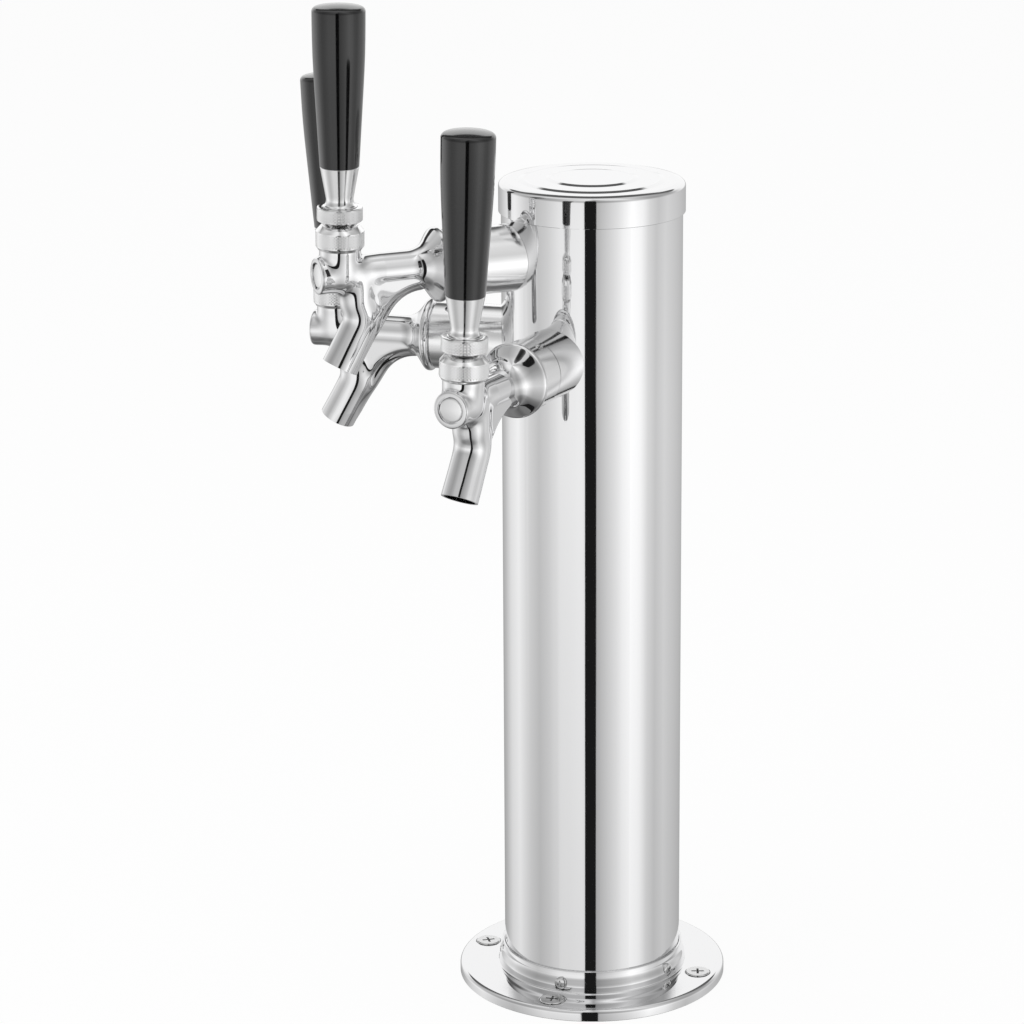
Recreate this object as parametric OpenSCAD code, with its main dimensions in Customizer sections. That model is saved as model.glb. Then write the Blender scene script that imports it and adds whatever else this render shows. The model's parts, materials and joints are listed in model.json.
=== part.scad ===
/* [Column] */
// Outside radius of the column
column_r = 38.1; // [37.8:0.1:38.6]
// Sheet thickness of the column
column_wall = 1.2; // [1:0.1:1.5]
// Height of the cap's rim over the counter
tower_h = 353; // [350:1:420]
// Height of the cap's skirt
cap_skirt_h = 13; // [8:0.5:14]
// Sheet thickness of the cap
cap_wall = 1.05; // [0.9:0.05:1.2]
// Rounding of the cap's top edge
cap_edge_r = 1.5; // [1.3:0.1:2.5]
// Radius of the outer ring stamped in the cap
cap_outer_ring_r = 30.3; // [25:0.1:33]
// Radius of the inner ring stamped in the cap
cap_inner_ring_r = 19; // [10:0.5:23]
// Thickness of the gasket under the cap
cap_gasket_t = 1; // [0.6:0.1:1.5]

/* [Foot] */
// Radius of the flange
flange_r = 57.75; // [56.5:0.25:62]
// Thickness of the flange
flange_t = 4.9; // [4.7:0.1:6]
// Rounding of the flange's top edge
flange_edge_r = 1.6; // [1:0.1:2.4]
// Outside radius of the collar at its foot
collar_foot_r = 40.6; // [40.4:0.1:41.2]
// Height of the collar's top over the counter
collar_h = 14.5; // [13:0.5:20]
// Height of the collar's fixing screws over the counter
collar_screw_z = 8.9; // [8.5:0.1:9.5]
// Radius of the way for the beer lines through the flange
hose_way_r = 35; // [28:0.5:36]
// Thickness of the gasket let into the flange's underside
base_gasket_t = 1.5; // [1:0.1:1.6]
// Thread radius of a mounting screw
mounting_screw_r = 2.1; // [2:0.1:2.4]
// Head radius of a mounting screw
mounting_head_r = 5.25; // [4.8:0.05:5.4]
// Length of a mounting screw below the counter
mounting_reach = 20; // [12:1:40]

/* [Taps] */
// Angle from the middle tap to each side tap
tap_spread_angle = 38.5; // [38:0.5:60]
// Depth of the middle tap's axis below the tower's top
centre_tap_drop = 29.9; // [29.5:0.1:40]
// Depth of the side taps' axes below the middle tap's axis
side_tap_drop = 40.7; // [40:0.1:60]
// Angle that an upright lever turns to fully open
lever_travel_angle = 25; // [20:1:25]

/* [Shank] */
// Length of the spacer between the column and the coupling
spacer_l = 17.6; // [14:0.1:30]
// Outside radius of the spacer
spacer_r = 14.2; // [13.8:0.1:15]
// Thread radius of the shank in the column
shank_thread_r = 11.1; // [10.8:0.1:11.4]
// Bore radius of the shank
shank_bore_r = 3.2; // [2.5:0.1:4]
// Distance across the flats of the lock nut
lock_nut_flats = 27; // [26:0.5:28]
// Thickness of the lock nut
lock_nut_l = 5.2; // [4:0.1:5.5]
// Thickness of the saddle between the lock nut and the column
saddle_t = 3.7; // [3.6:0.1:4]
// Thread radius of the spigot that takes the tail nut
spigot_r = 7; // [6.6:0.1:7.2]
// Distance across the flats of the tail nut
tail_nut_flats = 17; // [16.5:0.5:17.5]
// Outside radius of the tail elbow's tube
tail_tube_r = 3.97; // [3.5:0.01:4.2]
// Bore radius of the tail elbow
tail_bore_r = 2.5; // [2:0.1:3]
// Bend radius of the tail elbow
tail_bend_r = 5; // [4.5:0.1:6]
// Depth of the tail elbow's end below the tap's axis
tail_drop = 26; // [20:1:40]
// Length that the middle tap's elbow reaches past the side taps' elbows
centre_tail_l = 14.4; // [12:0.1:18]

/* [Coupling] */
// Length of the coupling nut
nut_l = 11.9; // [11.5:0.1:12.2]
// Outside radius of the coupling nut
nut_r = 14.4; // [14.2:0.1:15]
// Wall of the coupling nut over its thread
nut_wall = 1; // [0.8:0.1:1.4]
// Radius of a spanner hole in the coupling nut
spanner_hole_r = 2; // [1.5:0.1:2.2]
// Thickness of the coupling gasket
coupling_gasket_t = 1.2; // [0.8:0.1:1.5]

/* [Faucet body] */
// Outside radius of the body's tube
tube_r = 7.1; // [6.9:0.1:7.4]
// Radius of the concave flare from the tube to the coupling
bell_fillet_r = 10.5; // [10.2:0.1:10.8]
// Radius of the rounded rim of the bell
rim_r = 15.7; // [15.4:0.1:16]
// Distance from the body's rear face to the valve stack's axis
stack_reach = 50.9; // [49:0.1:57]
// Outside radius of the neck that carries the bonnet
neck_r = 8.5; // [8.4:0.1:8.8]
// Height of the neck's shoulder over the tap's axis
neck_h = 10.5; // [10.3:0.1:10.9]
// Outside radius of the boss at the front of the body
boss_r = 7.7; // [7.2:0.1:8.2]
// Distance from the stack's axis to the boss's face
boss_reach = 10.4; // [10:0.1:13]
// Outside radius of the spout
spout_r = 7.65; // [7.4:0.05:8]
// Bore radius of the spout
spout_bore_r = 6.5; // [6:0.1:6.8]
// Lean of the spout from upright
spout_tilt_angle = 27.8; // [20:0.1:32]
// Length of the spout's straight run
spout_run = 18.45; // [15:0.05:30]
// Radius of the spout's bend, on its centre line
spout_bend_r = 9.6; // [9:0.1:11]
// Thickness of the web behind the spout
web_t = 6.8; // [5:0.1:8]
// Radius of the web's concave rear edge
web_edge_r = 16.5; // [14:0.1:18]
// Bore radius of the body's tube
main_bore_r = 4.5; // [4.3:0.1:4.8]

/* [Lever and handle] */
// Radius of the lever's ball
ball_r = 6.6; // [6.4:0.1:6.8]
// Height of the ball's centre over the neck's shoulder
pivot_rise = 3.5; // [3.3:0.1:3.7]
// Distance from the ball's centre to the middle of the lever's tip
tip_arm = 10.5; // [10:0.1:10.8]
// Outside radius of the bonnet
bonnet_r = 10; // [9.8:0.1:10.5]
// Height of the bonnet
bonnet_h = 10.1; // [9.9:0.1:10.5]
// Radius of the lever collar
lever_collar_r = 9.3; // [9.2:0.1:10]
// Height of the lever collar
lever_collar_h = 5.8; // [5:0.1:7]
// Radius of the lever's thread
lever_thread_r = 4.7; // [4:0.1:4.8]
// Height of the ferrule below the grip
ferrule_h = 16.45; // [15:0.05:22]
// Radius of the ferrule's waist
ferrule_waist_r = 5.6; // [5.5:0.1:6.5]
// Height of the grip to its top edge
grip_h = 65; // [50:0.5:110]
// Radius of the grip at its widest
grip_r = 10.8; // [10:0.1:13]

/* [Clearances] */
// Gap between a shaft and its hole
running_gap = 0.05; // [0.03:0.01:0.08]
// Gap round the shank in its spacer and in the coupling nut, and round the body's thread
coupling_gap = 0.1; // [0.06:0.01:0.15]
// Gap round the shank of a screw
screw_gap = 0.25; // [0.1:0.05:0.4]

/* [Hidden] */
SIDES = ["left", "centre", "right"];
TAP_PIECES = [
    "grip", "ferrule", "lever_collar", "lever", "bonnet",
    "faucet_body", "boss_plug", "valve_shaft", "seat_washer", "coupling_nut",
    "shank", "shank_spacer", "lock_nut", "tail_elbow", "tail_nut"
];
SHARED_PIECES = [
    "column", "column_cap", "cap_gasket", "base_flange", "base_gasket",
    "mounting_screws", "collar_screws", "friction_washers", "ball_washers",
    "coupling_gaskets", "tail_washers", "inner_saddles"
];
$fn = 72;
// Facets of the column where thin pieces fit its wall
wall_fn = 240;
// How far a cut runs past the surface that it leaves
overrun = 1;
// Steps in a quarter of a rounded outline
arc_steps = 6;

// Foot of the tower: values measured from the counter
column_fit_r = column_r + running_gap;
// Height of the ledge that the column stands on
ledge_h = 2;
// Width of the flange's rim round the collar's foot
flange_rim_w = flange_r - collar_foot_r;
// Place of the mounting screws and of the gasket's edges across that rim, from the collar outward
mounting_share = 0.49;
gasket_inner_share = 0.08;
gasket_outer_share = 0.84;
mounting_circle_r = collar_foot_r + mounting_share * flange_rim_w;
base_gasket_hole_r = collar_foot_r + gasket_inner_share * flange_rim_w;
base_gasket_r = collar_foot_r + gasket_outer_share * flange_rim_w;
// Wall of the collar at its top
collar_lip = 0.8;
// Rounding in the corner at the collar's foot
collar_foot_fillet_r = 0.6;
// Heights over the flange at which the collar's upright wall ends and its neck begins
collar_wall_h = 3.2;
collar_neck_h = 6;
// Wall of the collar at that neck
collar_neck_w = 1.2;
// Height of a mounting screw's head rim over the flange
head_rim_h = 0.35;
// Radius of a mounting screw between its thread and its head, as a share of the thread's
mounting_plain_share = 0.9;
mounting_angles = [45, 135, 225, 315];
collar_screw_angles = [-44, 30, 136, 210];
collar_screw_r = 1.5;
collar_head_r = 2.6;
// Thickness of a collar screw's head, and how much of the collar is left under it
collar_head_t = 1.65;
collar_seat_t = 1.15;
// How far a collar screw reaches in past the column's wall
collar_screw_tail = 2.9;
// A cross recess: its length as a share of the head's width, the width of a slot and its depth
recess_share = 0.58;
mounting_slot_w = 1.2;
mounting_slot_depth = 1.4;
collar_slot_w = 0.8;
collar_slot_depth = 0.9;

// Cap
cap_r = column_fit_r + cap_wall;
column_top_z = tower_h - cap_wall - cap_gasket_t;
// Rise of each step stamped in the cap toward its middle
cap_step = 0.4;
cap_gasket_w = 2.5;

// Taps: their heights, and their directions seen from above
centre_tap_z = tower_h - centre_tap_drop;
side_tap_z = centre_tap_z - side_tap_drop;
tap_z = [side_tap_z, centre_tap_z, side_tap_z];
tap_azimuth = [-90 - tap_spread_angle, -90, -90 + tap_spread_angle];
// Angle that each faucet is turned in its coupling, and the outward lean of each shut lever
faucet_turn_angles = [0, -1.6, -2.5];
lever_lean_angles = [2, 0, 1.4];

// Stations outside the column, as distances from its axis along a tap
seam_x = column_r + spacer_l;
// Gap at the seam between the spacer and the coupling nut
nut_gap = 0.3;
nut_x0 = seam_x + nut_gap;
nut_x1 = nut_x0 + nut_l;
shank_nose_l = 4.7;
shank_face_x = seam_x + shank_nose_l;
body_x = shank_face_x + coupling_gasket_t;
// Thickness of the nut's rear wall, which holds the nose of the shank
nut_back_t = 1.5;
shank_nose_x0 = nut_x0 + nut_back_t + running_gap;
// Distance from the body's rear face to the middle of its rim
rim_setback = 8.6;
rim_x = body_x + rim_setback;
stack_x = body_x + stack_reach;
boss_x1 = stack_x + boss_reach;

// Stations inside the column, in the order that the pieces are stacked inward
column_inner_r = column_r - column_wall;
saddle_x0 = column_inner_r - saddle_t;
lock_nut_x0 = saddle_x0 - lock_nut_l;
thread_runout = 1;
shank_thread_x0 = lock_nut_x0 - thread_runout;
spigot_l = 6;
spigot_x0 = shank_thread_x0 - spigot_l;
tail_washer_t = 1.2;
tail_washer_x0 = spigot_x0 - tail_washer_t;
tail_flange_t = 1.8;
tail_flange_x0 = tail_washer_x0 - tail_flange_t;
tail_lip_t = 1.55;
tail_nut_x0 = tail_flange_x0 - running_gap - tail_lip_t;
// Gap between the tail nut and the end of the shank's large thread
tail_nut_gap = 0.5;
tail_nut_x1 = shank_thread_x0 - tail_nut_gap;
tail_arm_ls = [0, centre_tail_l, 0];

// Shank and coupling radii
shank_hole_gap = 0.2;
// Radius of the saddle, and the distances by which the tail washer and the flange clear the thread
saddle_r = 14;
tail_washer_inset = 0.6;
tail_flange_inset = 0.4;
tail_lip_gap = 0.33;
nut_thread_r = nut_r - nut_wall;
shank_nose_r = nut_thread_r - running_gap;
body_thread_r = nut_thread_r - coupling_gap;
shank_cup_r = 7;
shank_cup_l = 4.5;
// Chamfer of the nut's edges
nut_edge = 0.4;
spanner_hole_count = 3;
// Angle of the first spanner hole from level, and its distance from the nut's rear
spanner_hole_angle = 64.5;
spanner_hole_back = 4.5;
// Inner and outer margins of the coupling gasket
gasket_inner_margin = 1;
gasket_outer_margin = 0.55;

// Bell: the flare of the body in front of the coupling, tangent to the tube and closed by a rounded rim
bell_l = 21.2;
bell_x1 = body_x + bell_l;
rim_round_r = 1.9;
// Slope of the cone between the flare and the rim
bell_cone_angle = 55;
bell_fillet_centre_r = tube_r + bell_fillet_r;
// Ends of that cone at the rim and at the flare, as radius and distance along the tap
bell_cone_foot = [
    rim_r - rim_round_r * (1 - cos(bell_cone_angle)), rim_x + rim_round_r * sin(bell_cone_angle)
];
bell_cone_top = [
    bell_fillet_centre_r - bell_fillet_r * cos(bell_cone_angle),
    bell_x1 - bell_fillet_r * sin(bell_cone_angle)
];

// Valve: stations and radii
seat_recess_l = 3.4;
seat_recess_r = 7.5;
seat_x = body_x + seat_recess_l;
seat_washer_t = 2.65;
seat_washer_r = 6;
seat_washer_x0 = seat_x - running_gap - seat_washer_t;
shaft_rod_r = 1.9;
shaft_end_r = 3.4;
shaft_end_t = 1.35;
shaft_end_x0 = seat_washer_x0 - running_gap - shaft_end_t;
shaft_shoulder_r = 3;
shaft_shoulder_l = 1.5;
wing_r = main_bore_r - running_gap;
wing_t = 1.6;
wing_l = 4;
// Distances of the two guides from the seat
wing_setbacks = [5, 26];
front_bore_gap = 0.1;
front_bore_r = main_bore_r + front_bore_gap;
shaft_head_r = main_bore_r - front_bore_gap;
shaft_head_half_l = 5;
shaft_head_flat = 3;
tip_r = 2;
tip_side_gap = 0.6;
tip_floor_gap = 0.6;
tip_wall_gap = 0.16;
lever_arm_r = 1.5;
plug_seat_l = 1.6;
plug_seat_r = 5.6;
plug_t = 1.2;
plug_dome = 0.3;

// Stack over the tap's axis, from the chamber up to the handle
pivot_h = neck_h + pivot_rise;
slot_floor_h = pivot_h - tip_arm - tip_r - tip_floor_gap;
tip_travel = tip_arm * sin(lever_travel_angle);
chamber_r = tip_travel + tip_r + tip_wall_gap;
ball_side_gap = 0.6;
stack_bore_r = ball_r + ball_side_gap;
ball_washer_t = 3;
ball_washer_margin = 1;
// Height of the ball's centre over the washer
ball_washer_drop = 2;
ball_washer_h0 = pivot_h - ball_washer_drop - ball_washer_t;
neck_thread_l = 6.5;
neck_thread_inset = 0.3;
neck_thread_r = neck_r - neck_thread_inset;
bonnet_cavity_h = 7.4;
bonnet_roof_h = neck_h + bonnet_cavity_h;
bonnet_h1 = neck_h + bonnet_h;
bonnet_chamfer = 2;
// Chamfer of the bonnet's lower edge
bonnet_foot_chamfer = 1.1;
// Edge of the bonnet's flared opening to the ball's side, at the roof and at the top
opening_inset = 0.4;
opening_flare = 1.1;
friction_washer_t = 2.1;
friction_washer_margin = 0.7;
friction_washer_inset = 0.1;
lever_stem_r = 3;
collar_rise = 1.8;
lever_collar_h0 = bonnet_h1 + collar_rise;
lever_collar_h1 = lever_collar_h0 + lever_collar_h;
lever_collar_chamfer = 0.3;
// Dish under the lever collar that clears the bonnet when the lever leans
dish_rim = 1;
dish_depth = 2;
// Share of the ferrule's height that the lever's thread fills
ferrule_thread_share = 0.6;
lever_thread_h1 = lever_collar_h1 + ferrule_thread_share * ferrule_h;

// Handle
ferrule_h1 = lever_collar_h1 + ferrule_h;
ferrule_foot_r = 7.1;
ferrule_foot_h = 0.6;
ferrule_top_r = 7.9;
ferrule_waist_h = 3.4;
// Thickness of solid metal at the ferrule's top
ferrule_crown_t = 2.65;
handle_spigot_r = 3.9;
handle_spigot_l = 15.35;
handle_spigot_gap = 0.5;
grip_h1 = ferrule_h1 + grip_h;
// Rounding of the grip's top edge and the height of its crown
grip_edge_r = 2;
grip_crown = 1.2;
// Outline of the grip: height as a share of the grip's, radius as a share of the widest
grip_outline_shares = [[0, 0.741], [0.3, 0.846], [0.6, 0.952], [0.65, 0.97], [0.7, 0.983]];

// Spout and web, in the tap's middle plane
spout_bend_angle = 77.8;
// Middle of the spout's bend, in front of the stack's axis and below the tap's
spout_bend_ahead = 0.3;
spout_bend_drop = 18.5;
joining_bore_r = 3.8;
web_rim_r = web_t / 2;
// How much the web's root is set in from the side of the tube, and how far down its sides taper
web_root_inset = 0.1;
web_taper_drop = 28;
web_root_r = tube_r - web_root_inset;
web_line_r = web_edge_r + web_rim_r;
web_tilt_angle = 31.8;
// Middle of the web's concave edge, behind the stack's axis and below the tap's
web_setback = 35.7;
web_root_drop = 10.1;
web_run = 32;
web_x = stack_x - web_setback;
web_h = -(web_root_drop + web_edge_r);
spout_bend_x = stack_x + spout_bend_ahead;
// Start of the spout's straight run, and the middle of its outlet
spout_top = [
    spout_bend_x - spout_bend_r * cos(spout_tilt_angle),
    -spout_bend_drop - spout_bend_r * sin(spout_tilt_angle)
];
spout_outlet = spout_top + spout_run * [sin(spout_tilt_angle), -cos(spout_tilt_angle)];
// Upper end of the spout's bend
bend_end_angle = 180 - spout_bend_angle + spout_tilt_angle;
spout_bend_end = [
    spout_bend_x + spout_bend_r * cos(bend_end_angle), 0,
    -spout_bend_drop + spout_bend_r * sin(bend_end_angle)
];
// Start and end of the web's straight rim
web_rim_top = [web_x, web_h] + web_line_r * [cos(web_tilt_angle), sin(web_tilt_angle)];
web_rim_end = web_rim_top + web_run * [sin(web_tilt_angle), -cos(web_tilt_angle)];

// Points on an arc about centre, from angle a to angle b
function arc(centre, r, a, b) = [
    for (i = [0:arc_steps]) centre + r * [cos(a + (b - a) * i / arc_steps), sin(a + (b - a) * i / arc_steps)]
];

// A tap's own frame: its axis leaves the column's axis along X
module at_tap(t) translate([0, 0, tap_z[t]]) rotate([0, 0, tap_azimuth[t]]) children();

// The frame of a faucet, which is turned a little in its coupling
module at_faucet(t) at_tap(t) rotate([faucet_turn_angles[t], 0, 0]) children();

// The frame of a handle, which leans a little about the ball of its lever
module at_handle(t)
    at_faucet(t) on_stack(pivot_h) rotate([0, lever_lean_angles[t], 0]) translate([-stack_x, 0, -pivot_h])
        children();

// What turns about X is drawn as radius and distance along X
module about_x() rotate([0, 90, 0]) rotate_extrude() children();

module rod_x(x0, x1, r) translate([x0, 0, 0]) rotate([0, 90, 0]) cylinder(h = x1 - x0, r = r);

module hex_x(x0, x1, flats)
    translate([x0, 0, 0]) rotate([0, 90, 0]) cylinder(h = x1 - x0, r = flats / 2 / cos(30), $fn = 6);

module ring_x(x0, x1, outer_r, inner_r)
    translate([x0, 0, 0]) rotate([0, 90, 0]) ring(x1 - x0, outer_r, inner_r);

module ring(h, outer_r, inner_r)
    difference() {
        cylinder(h = h, r = outer_r);
        translate([0, 0, -overrun]) cylinder(h = h + 2 * overrun, r = inner_r);
    }

// The frame of the valve stack, upright at the front of a tap
module on_stack(h = 0) translate([stack_x, 0, h]) children();

// The frame of the spout: its straight run hangs down beside the middle of the bend
module on_spout()
    translate([spout_bend_x, 0, -spout_bend_drop]) rotate([0, -spout_tilt_angle, 0]) children();

// The frame of the web's rear edge
module on_web() translate([web_x, 0, web_h]) rotate([0, -web_tilt_angle, 0]) children();

// A bent rod in the XZ plane, from one angle to another about the origin
module bent_rod(bend_r, r, from_angle, sweep_angle)
    rotate([90, 0, 0]) rotate([0, 0, from_angle]) rotate_extrude(angle = sweep_angle)
        translate([bend_r, 0]) circle(r = r);

// The cut of a cross-headed driver, with its mouth at height zero
module cross_recess(head_r, slot_w, slot_depth)
    for (turn = [0, 90]) rotate([0, 0, turn])
        translate([-head_r * recess_share, -slot_w / 2, -slot_depth])
            cube([2 * head_r * recess_share, slot_w, slot_depth + overrun]);

module column()
    color("silver") difference() {
        translate([0, 0, ledge_h]) ring(column_top_z - ledge_h, column_r, column_inner_r);
        for (t = [0:2]) at_tap(t)
            rod_x(saddle_x0, column_r + overrun, shank_thread_r + shank_hole_gap);
        for (a = collar_screw_angles) rotate([0, 0, a]) translate([0, 0, collar_screw_z])
            rod_x(saddle_x0, column_r + overrun, collar_screw_r + running_gap);
    }

module column_cap()
    color("gainsboro") rotate_extrude() difference() {
        polygon(concat(
            [[0, tower_h - cap_skirt_h], [cap_r, tower_h - cap_skirt_h]],
            arc([cap_r - cap_edge_r, tower_h - cap_edge_r], cap_edge_r, 0, 90),
            [
                [cap_outer_ring_r, tower_h],
                [cap_outer_ring_r - cap_step, tower_h + cap_step],
                [cap_inner_ring_r, tower_h + cap_step],
                [cap_inner_ring_r - cap_step, tower_h + 2 * cap_step],
                [0, tower_h + 2 * cap_step]
            ]
        ));
        polygon([
            [0, tower_h - cap_skirt_h - overrun],
            [column_fit_r, tower_h - cap_skirt_h - overrun],
            [column_fit_r, tower_h - cap_wall],
            [cap_outer_ring_r - cap_wall, tower_h - cap_wall],
            [cap_outer_ring_r - cap_wall, tower_h - cap_wall + cap_step],
            [cap_inner_ring_r - cap_wall, tower_h - cap_wall + cap_step],
            [cap_inner_ring_r - cap_wall, tower_h - cap_wall + 2 * cap_step],
            [0, tower_h - cap_wall + 2 * cap_step]
        ]);
    }

module cap_gasket()
    color("dimgray") translate([0, 0, column_top_z]) ring(cap_gasket_t, column_r, column_r - cap_gasket_w);

module base_flange() {
    collar_top_r = column_fit_r + collar_lip;
    color("silver") difference() {
        rotate_extrude() polygon(concat(
            [
                [hose_way_r, 0], [base_gasket_hole_r, 0], [base_gasket_hole_r, base_gasket_t],
                [base_gasket_r, base_gasket_t], [base_gasket_r, 0], [flange_r, 0]
            ],
            arc([flange_r - flange_edge_r, flange_t - flange_edge_r], flange_edge_r, 0, 90),
            arc([collar_foot_r + collar_foot_fillet_r, flange_t + collar_foot_fillet_r],
                collar_foot_fillet_r, 270, 180),
            [
                [collar_foot_r, flange_t + collar_wall_h],
                [column_fit_r + collar_neck_w, flange_t + collar_neck_h]
            ],
            arc([collar_top_r - collar_lip / 2, collar_h - collar_lip / 2], collar_lip / 2, 0, 180),
            [[column_fit_r, ledge_h], [hose_way_r, ledge_h]]
        ));
        for (a = mounting_angles) rotate([0, 0, a]) translate([mounting_circle_r, 0, 0]) {
            translate([0, 0, -overrun]) cylinder(h = flange_t, r = mounting_screw_r + screw_gap);
            countersunk(mounting_head_r + running_gap, running_gap);
        }
        for (a = collar_screw_angles) rotate([0, 0, a]) translate([0, 0, collar_screw_z]) {
            rod_x(column_inner_r, collar_foot_r, collar_screw_r + running_gap);
            rod_x(column_fit_r + collar_seat_t, collar_foot_r + overrun, collar_head_r + running_gap);
        }
    }
}

// The sunk part of a mounting screw's head, with a rim that rises over the flange
module countersunk(head_r, rim_h)
    translate([0, 0, flange_t - head_r + mounting_screw_r]) {
        cylinder(h = head_r - mounting_screw_r, r1 = mounting_screw_r, r2 = head_r);
        translate([0, 0, head_r - mounting_screw_r]) cylinder(h = rim_h, r = head_r);
    }

module base_gasket()
    color("dimgray") difference() {
        ring(base_gasket_t, base_gasket_r, base_gasket_hole_r);
        for (a = mounting_angles) rotate([0, 0, a])
            translate([mounting_circle_r, 0, -overrun])
                cylinder(h = base_gasket_t + 2 * overrun, r = mounting_screw_r + screw_gap);
    }

module mounting_screws()
    for (a = mounting_angles) rotate([0, 0, a]) translate([mounting_circle_r, 0, 0])
        color("gainsboro") difference() {
            union() {
                translate([0, 0, -mounting_reach]) cylinder(h = mounting_reach, r = mounting_screw_r);
                cylinder(h = flange_t - mounting_head_r / 2, r = mounting_plain_share * mounting_screw_r);
                countersunk(mounting_head_r, head_rim_h);
            }
            translate([0, 0, flange_t + head_rim_h])
                cross_recess(mounting_head_r, mounting_slot_w, mounting_slot_depth);
        }

module collar_screws()
    for (a = collar_screw_angles) rotate([0, 0, a])
        translate([column_fit_r + collar_seat_t, 0, collar_screw_z])
            color("gainsboro") difference() {
                union() {
                    rod_x(-collar_seat_t - column_wall - collar_screw_tail, 0, collar_screw_r);
                    rod_x(0, collar_head_t, collar_head_r);
                }
                translate([collar_head_t, 0, 0]) rotate([0, 90, 0])
                    cross_recess(collar_head_r, collar_slot_w, collar_slot_depth);
            }

module shank_spacer()
    color("silver") difference() {
        ring_x(saddle_x0, seam_x, spacer_r, shank_thread_r + coupling_gap);
        translate([0, 0, -2 * spacer_r])
            cylinder(h = 4 * spacer_r, r = column_fit_r, $fn = wall_fn);
    }

module inner_saddle()
    color("gray") intersection() {
        ring_x(saddle_x0, column_r, saddle_r, shank_thread_r + coupling_gap);
        translate([0, 0, -2 * saddle_r])
            cylinder(h = 4 * saddle_r, r = column_inner_r - running_gap, $fn = wall_fn);
    }

module lock_nut()
    color("silver") difference() {
        hex_x(lock_nut_x0, saddle_x0, lock_nut_flats);
        rod_x(lock_nut_x0 - overrun, saddle_x0 + overrun, shank_thread_r + running_gap);
    }

module shank()
    color("silver") difference() {
        union() {
            rod_x(spigot_x0, shank_thread_x0, spigot_r);
            rod_x(shank_thread_x0, shank_nose_x0, shank_thread_r);
            rod_x(shank_nose_x0, shank_face_x, shank_nose_r);
        }
        rod_x(spigot_x0 - overrun, shank_face_x, shank_bore_r);
        rod_x(shank_face_x - shank_cup_l, shank_face_x + overrun, shank_cup_r);
    }

module tail_nut()
    color("silver") difference() {
        hex_x(tail_nut_x0, tail_nut_x1, tail_nut_flats);
        rod_x(tail_nut_x0 - overrun, tail_nut_x1, tail_tube_r + tail_lip_gap);
        rod_x(tail_flange_x0 - running_gap, tail_nut_x1 + overrun, spigot_r + running_gap);
    }

module tail_washer()
    color("dimgray")
        ring_x(tail_washer_x0, spigot_x0, spigot_r - tail_washer_inset, shank_bore_r);

// An elbow whose level arm is longer than the shortest one by arm_l
module tail_elbow(arm_l) {
    bend_x = tail_nut_x0 - arm_l;
    color("silver") difference() {
        union() {
            rod_x(tail_flange_x0, tail_washer_x0, spigot_r - tail_flange_inset);
            elbow_path(bend_x, tail_flange_x0, tail_tube_r, 0);
        }
        elbow_path(bend_x, tail_washer_x0 + overrun, tail_bore_r, overrun);
    }
}

module elbow_path(bend_x, x1, r, extra) {
    rod_x(bend_x, x1, r);
    translate([bend_x, 0, -tail_bend_r]) bent_rod(tail_bend_r, r, 90, 90);
    translate([bend_x - tail_bend_r, 0, -tail_drop - extra])
        cylinder(h = tail_drop - tail_bend_r + extra, r = r);
}

module coupling_gasket()
    color("dimgray")
        ring_x(shank_face_x, body_x, shank_nose_r - gasket_outer_margin, shank_cup_r + gasket_inner_margin);

module coupling_nut()
    color("silver") difference() {
        about_x() polygon([
            [shank_thread_r + coupling_gap, nut_x0], [nut_r - nut_edge, nut_x0], [nut_r, nut_x0 + nut_edge],
            [nut_r, nut_x1 - nut_edge], [nut_r - nut_edge, nut_x1], [nut_thread_r, nut_x1],
            [nut_thread_r, nut_x0 + nut_back_t], [shank_thread_r + coupling_gap, nut_x0 + nut_back_t]
        ]);
        for (i = [1:spanner_hole_count])
            rotate([spanner_hole_angle + 360 * i / spanner_hole_count, 0, 0])
                translate([nut_x0 + spanner_hole_back, nut_r - nut_wall - overrun, 0])
                    rotate([-90, 0, 0]) cylinder(h = nut_wall + 2 * overrun, r = spanner_hole_r);
    }

module faucet_body()
    color("gainsboro") difference() {
        union() {
            rod_x(body_x, rim_x, body_thread_r);
            about_x() {
                translate([rim_r - rim_round_r, rim_x]) circle(r = rim_round_r);
                translate([0, rim_x - rim_round_r]) square([rim_r - rim_round_r, rim_round_r]);
                difference() {
                    polygon([
                        [0, rim_x], [rim_r - rim_round_r, rim_x], bell_cone_foot, bell_cone_top,
                        [bell_cone_top[0], bell_x1], [0, bell_x1]
                    ]);
                    translate([bell_fillet_centre_r, bell_x1]) circle(r = bell_fillet_r);
                }
            }
            rod_x(bell_x1, stack_x, tube_r);
            rod_x(stack_x, boss_x1, boss_r);
            on_stack() sphere(r = neck_r);
            on_stack() cylinder(h = neck_h, r = neck_r);
            on_stack(neck_h) cylinder(h = neck_thread_l, r = neck_thread_r);
            spout_skin();
        }
        rod_x(body_x - overrun, seat_x, seat_recess_r);
        rod_x(seat_x - overrun, stack_x, main_bore_r);
        rod_x(stack_x, boss_x1 - plug_seat_l, front_bore_r);
        rod_x(boss_x1 - plug_seat_l, boss_x1 + overrun, plug_seat_r);
        on_stack(-front_bore_r) cylinder(h = front_bore_r + ball_washer_h0, r = chamber_r);
        on_stack(ball_washer_h0)
            cylinder(h = neck_h + neck_thread_l + overrun - ball_washer_h0, r = stack_bore_r);
        spout_bore();
    }

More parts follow.
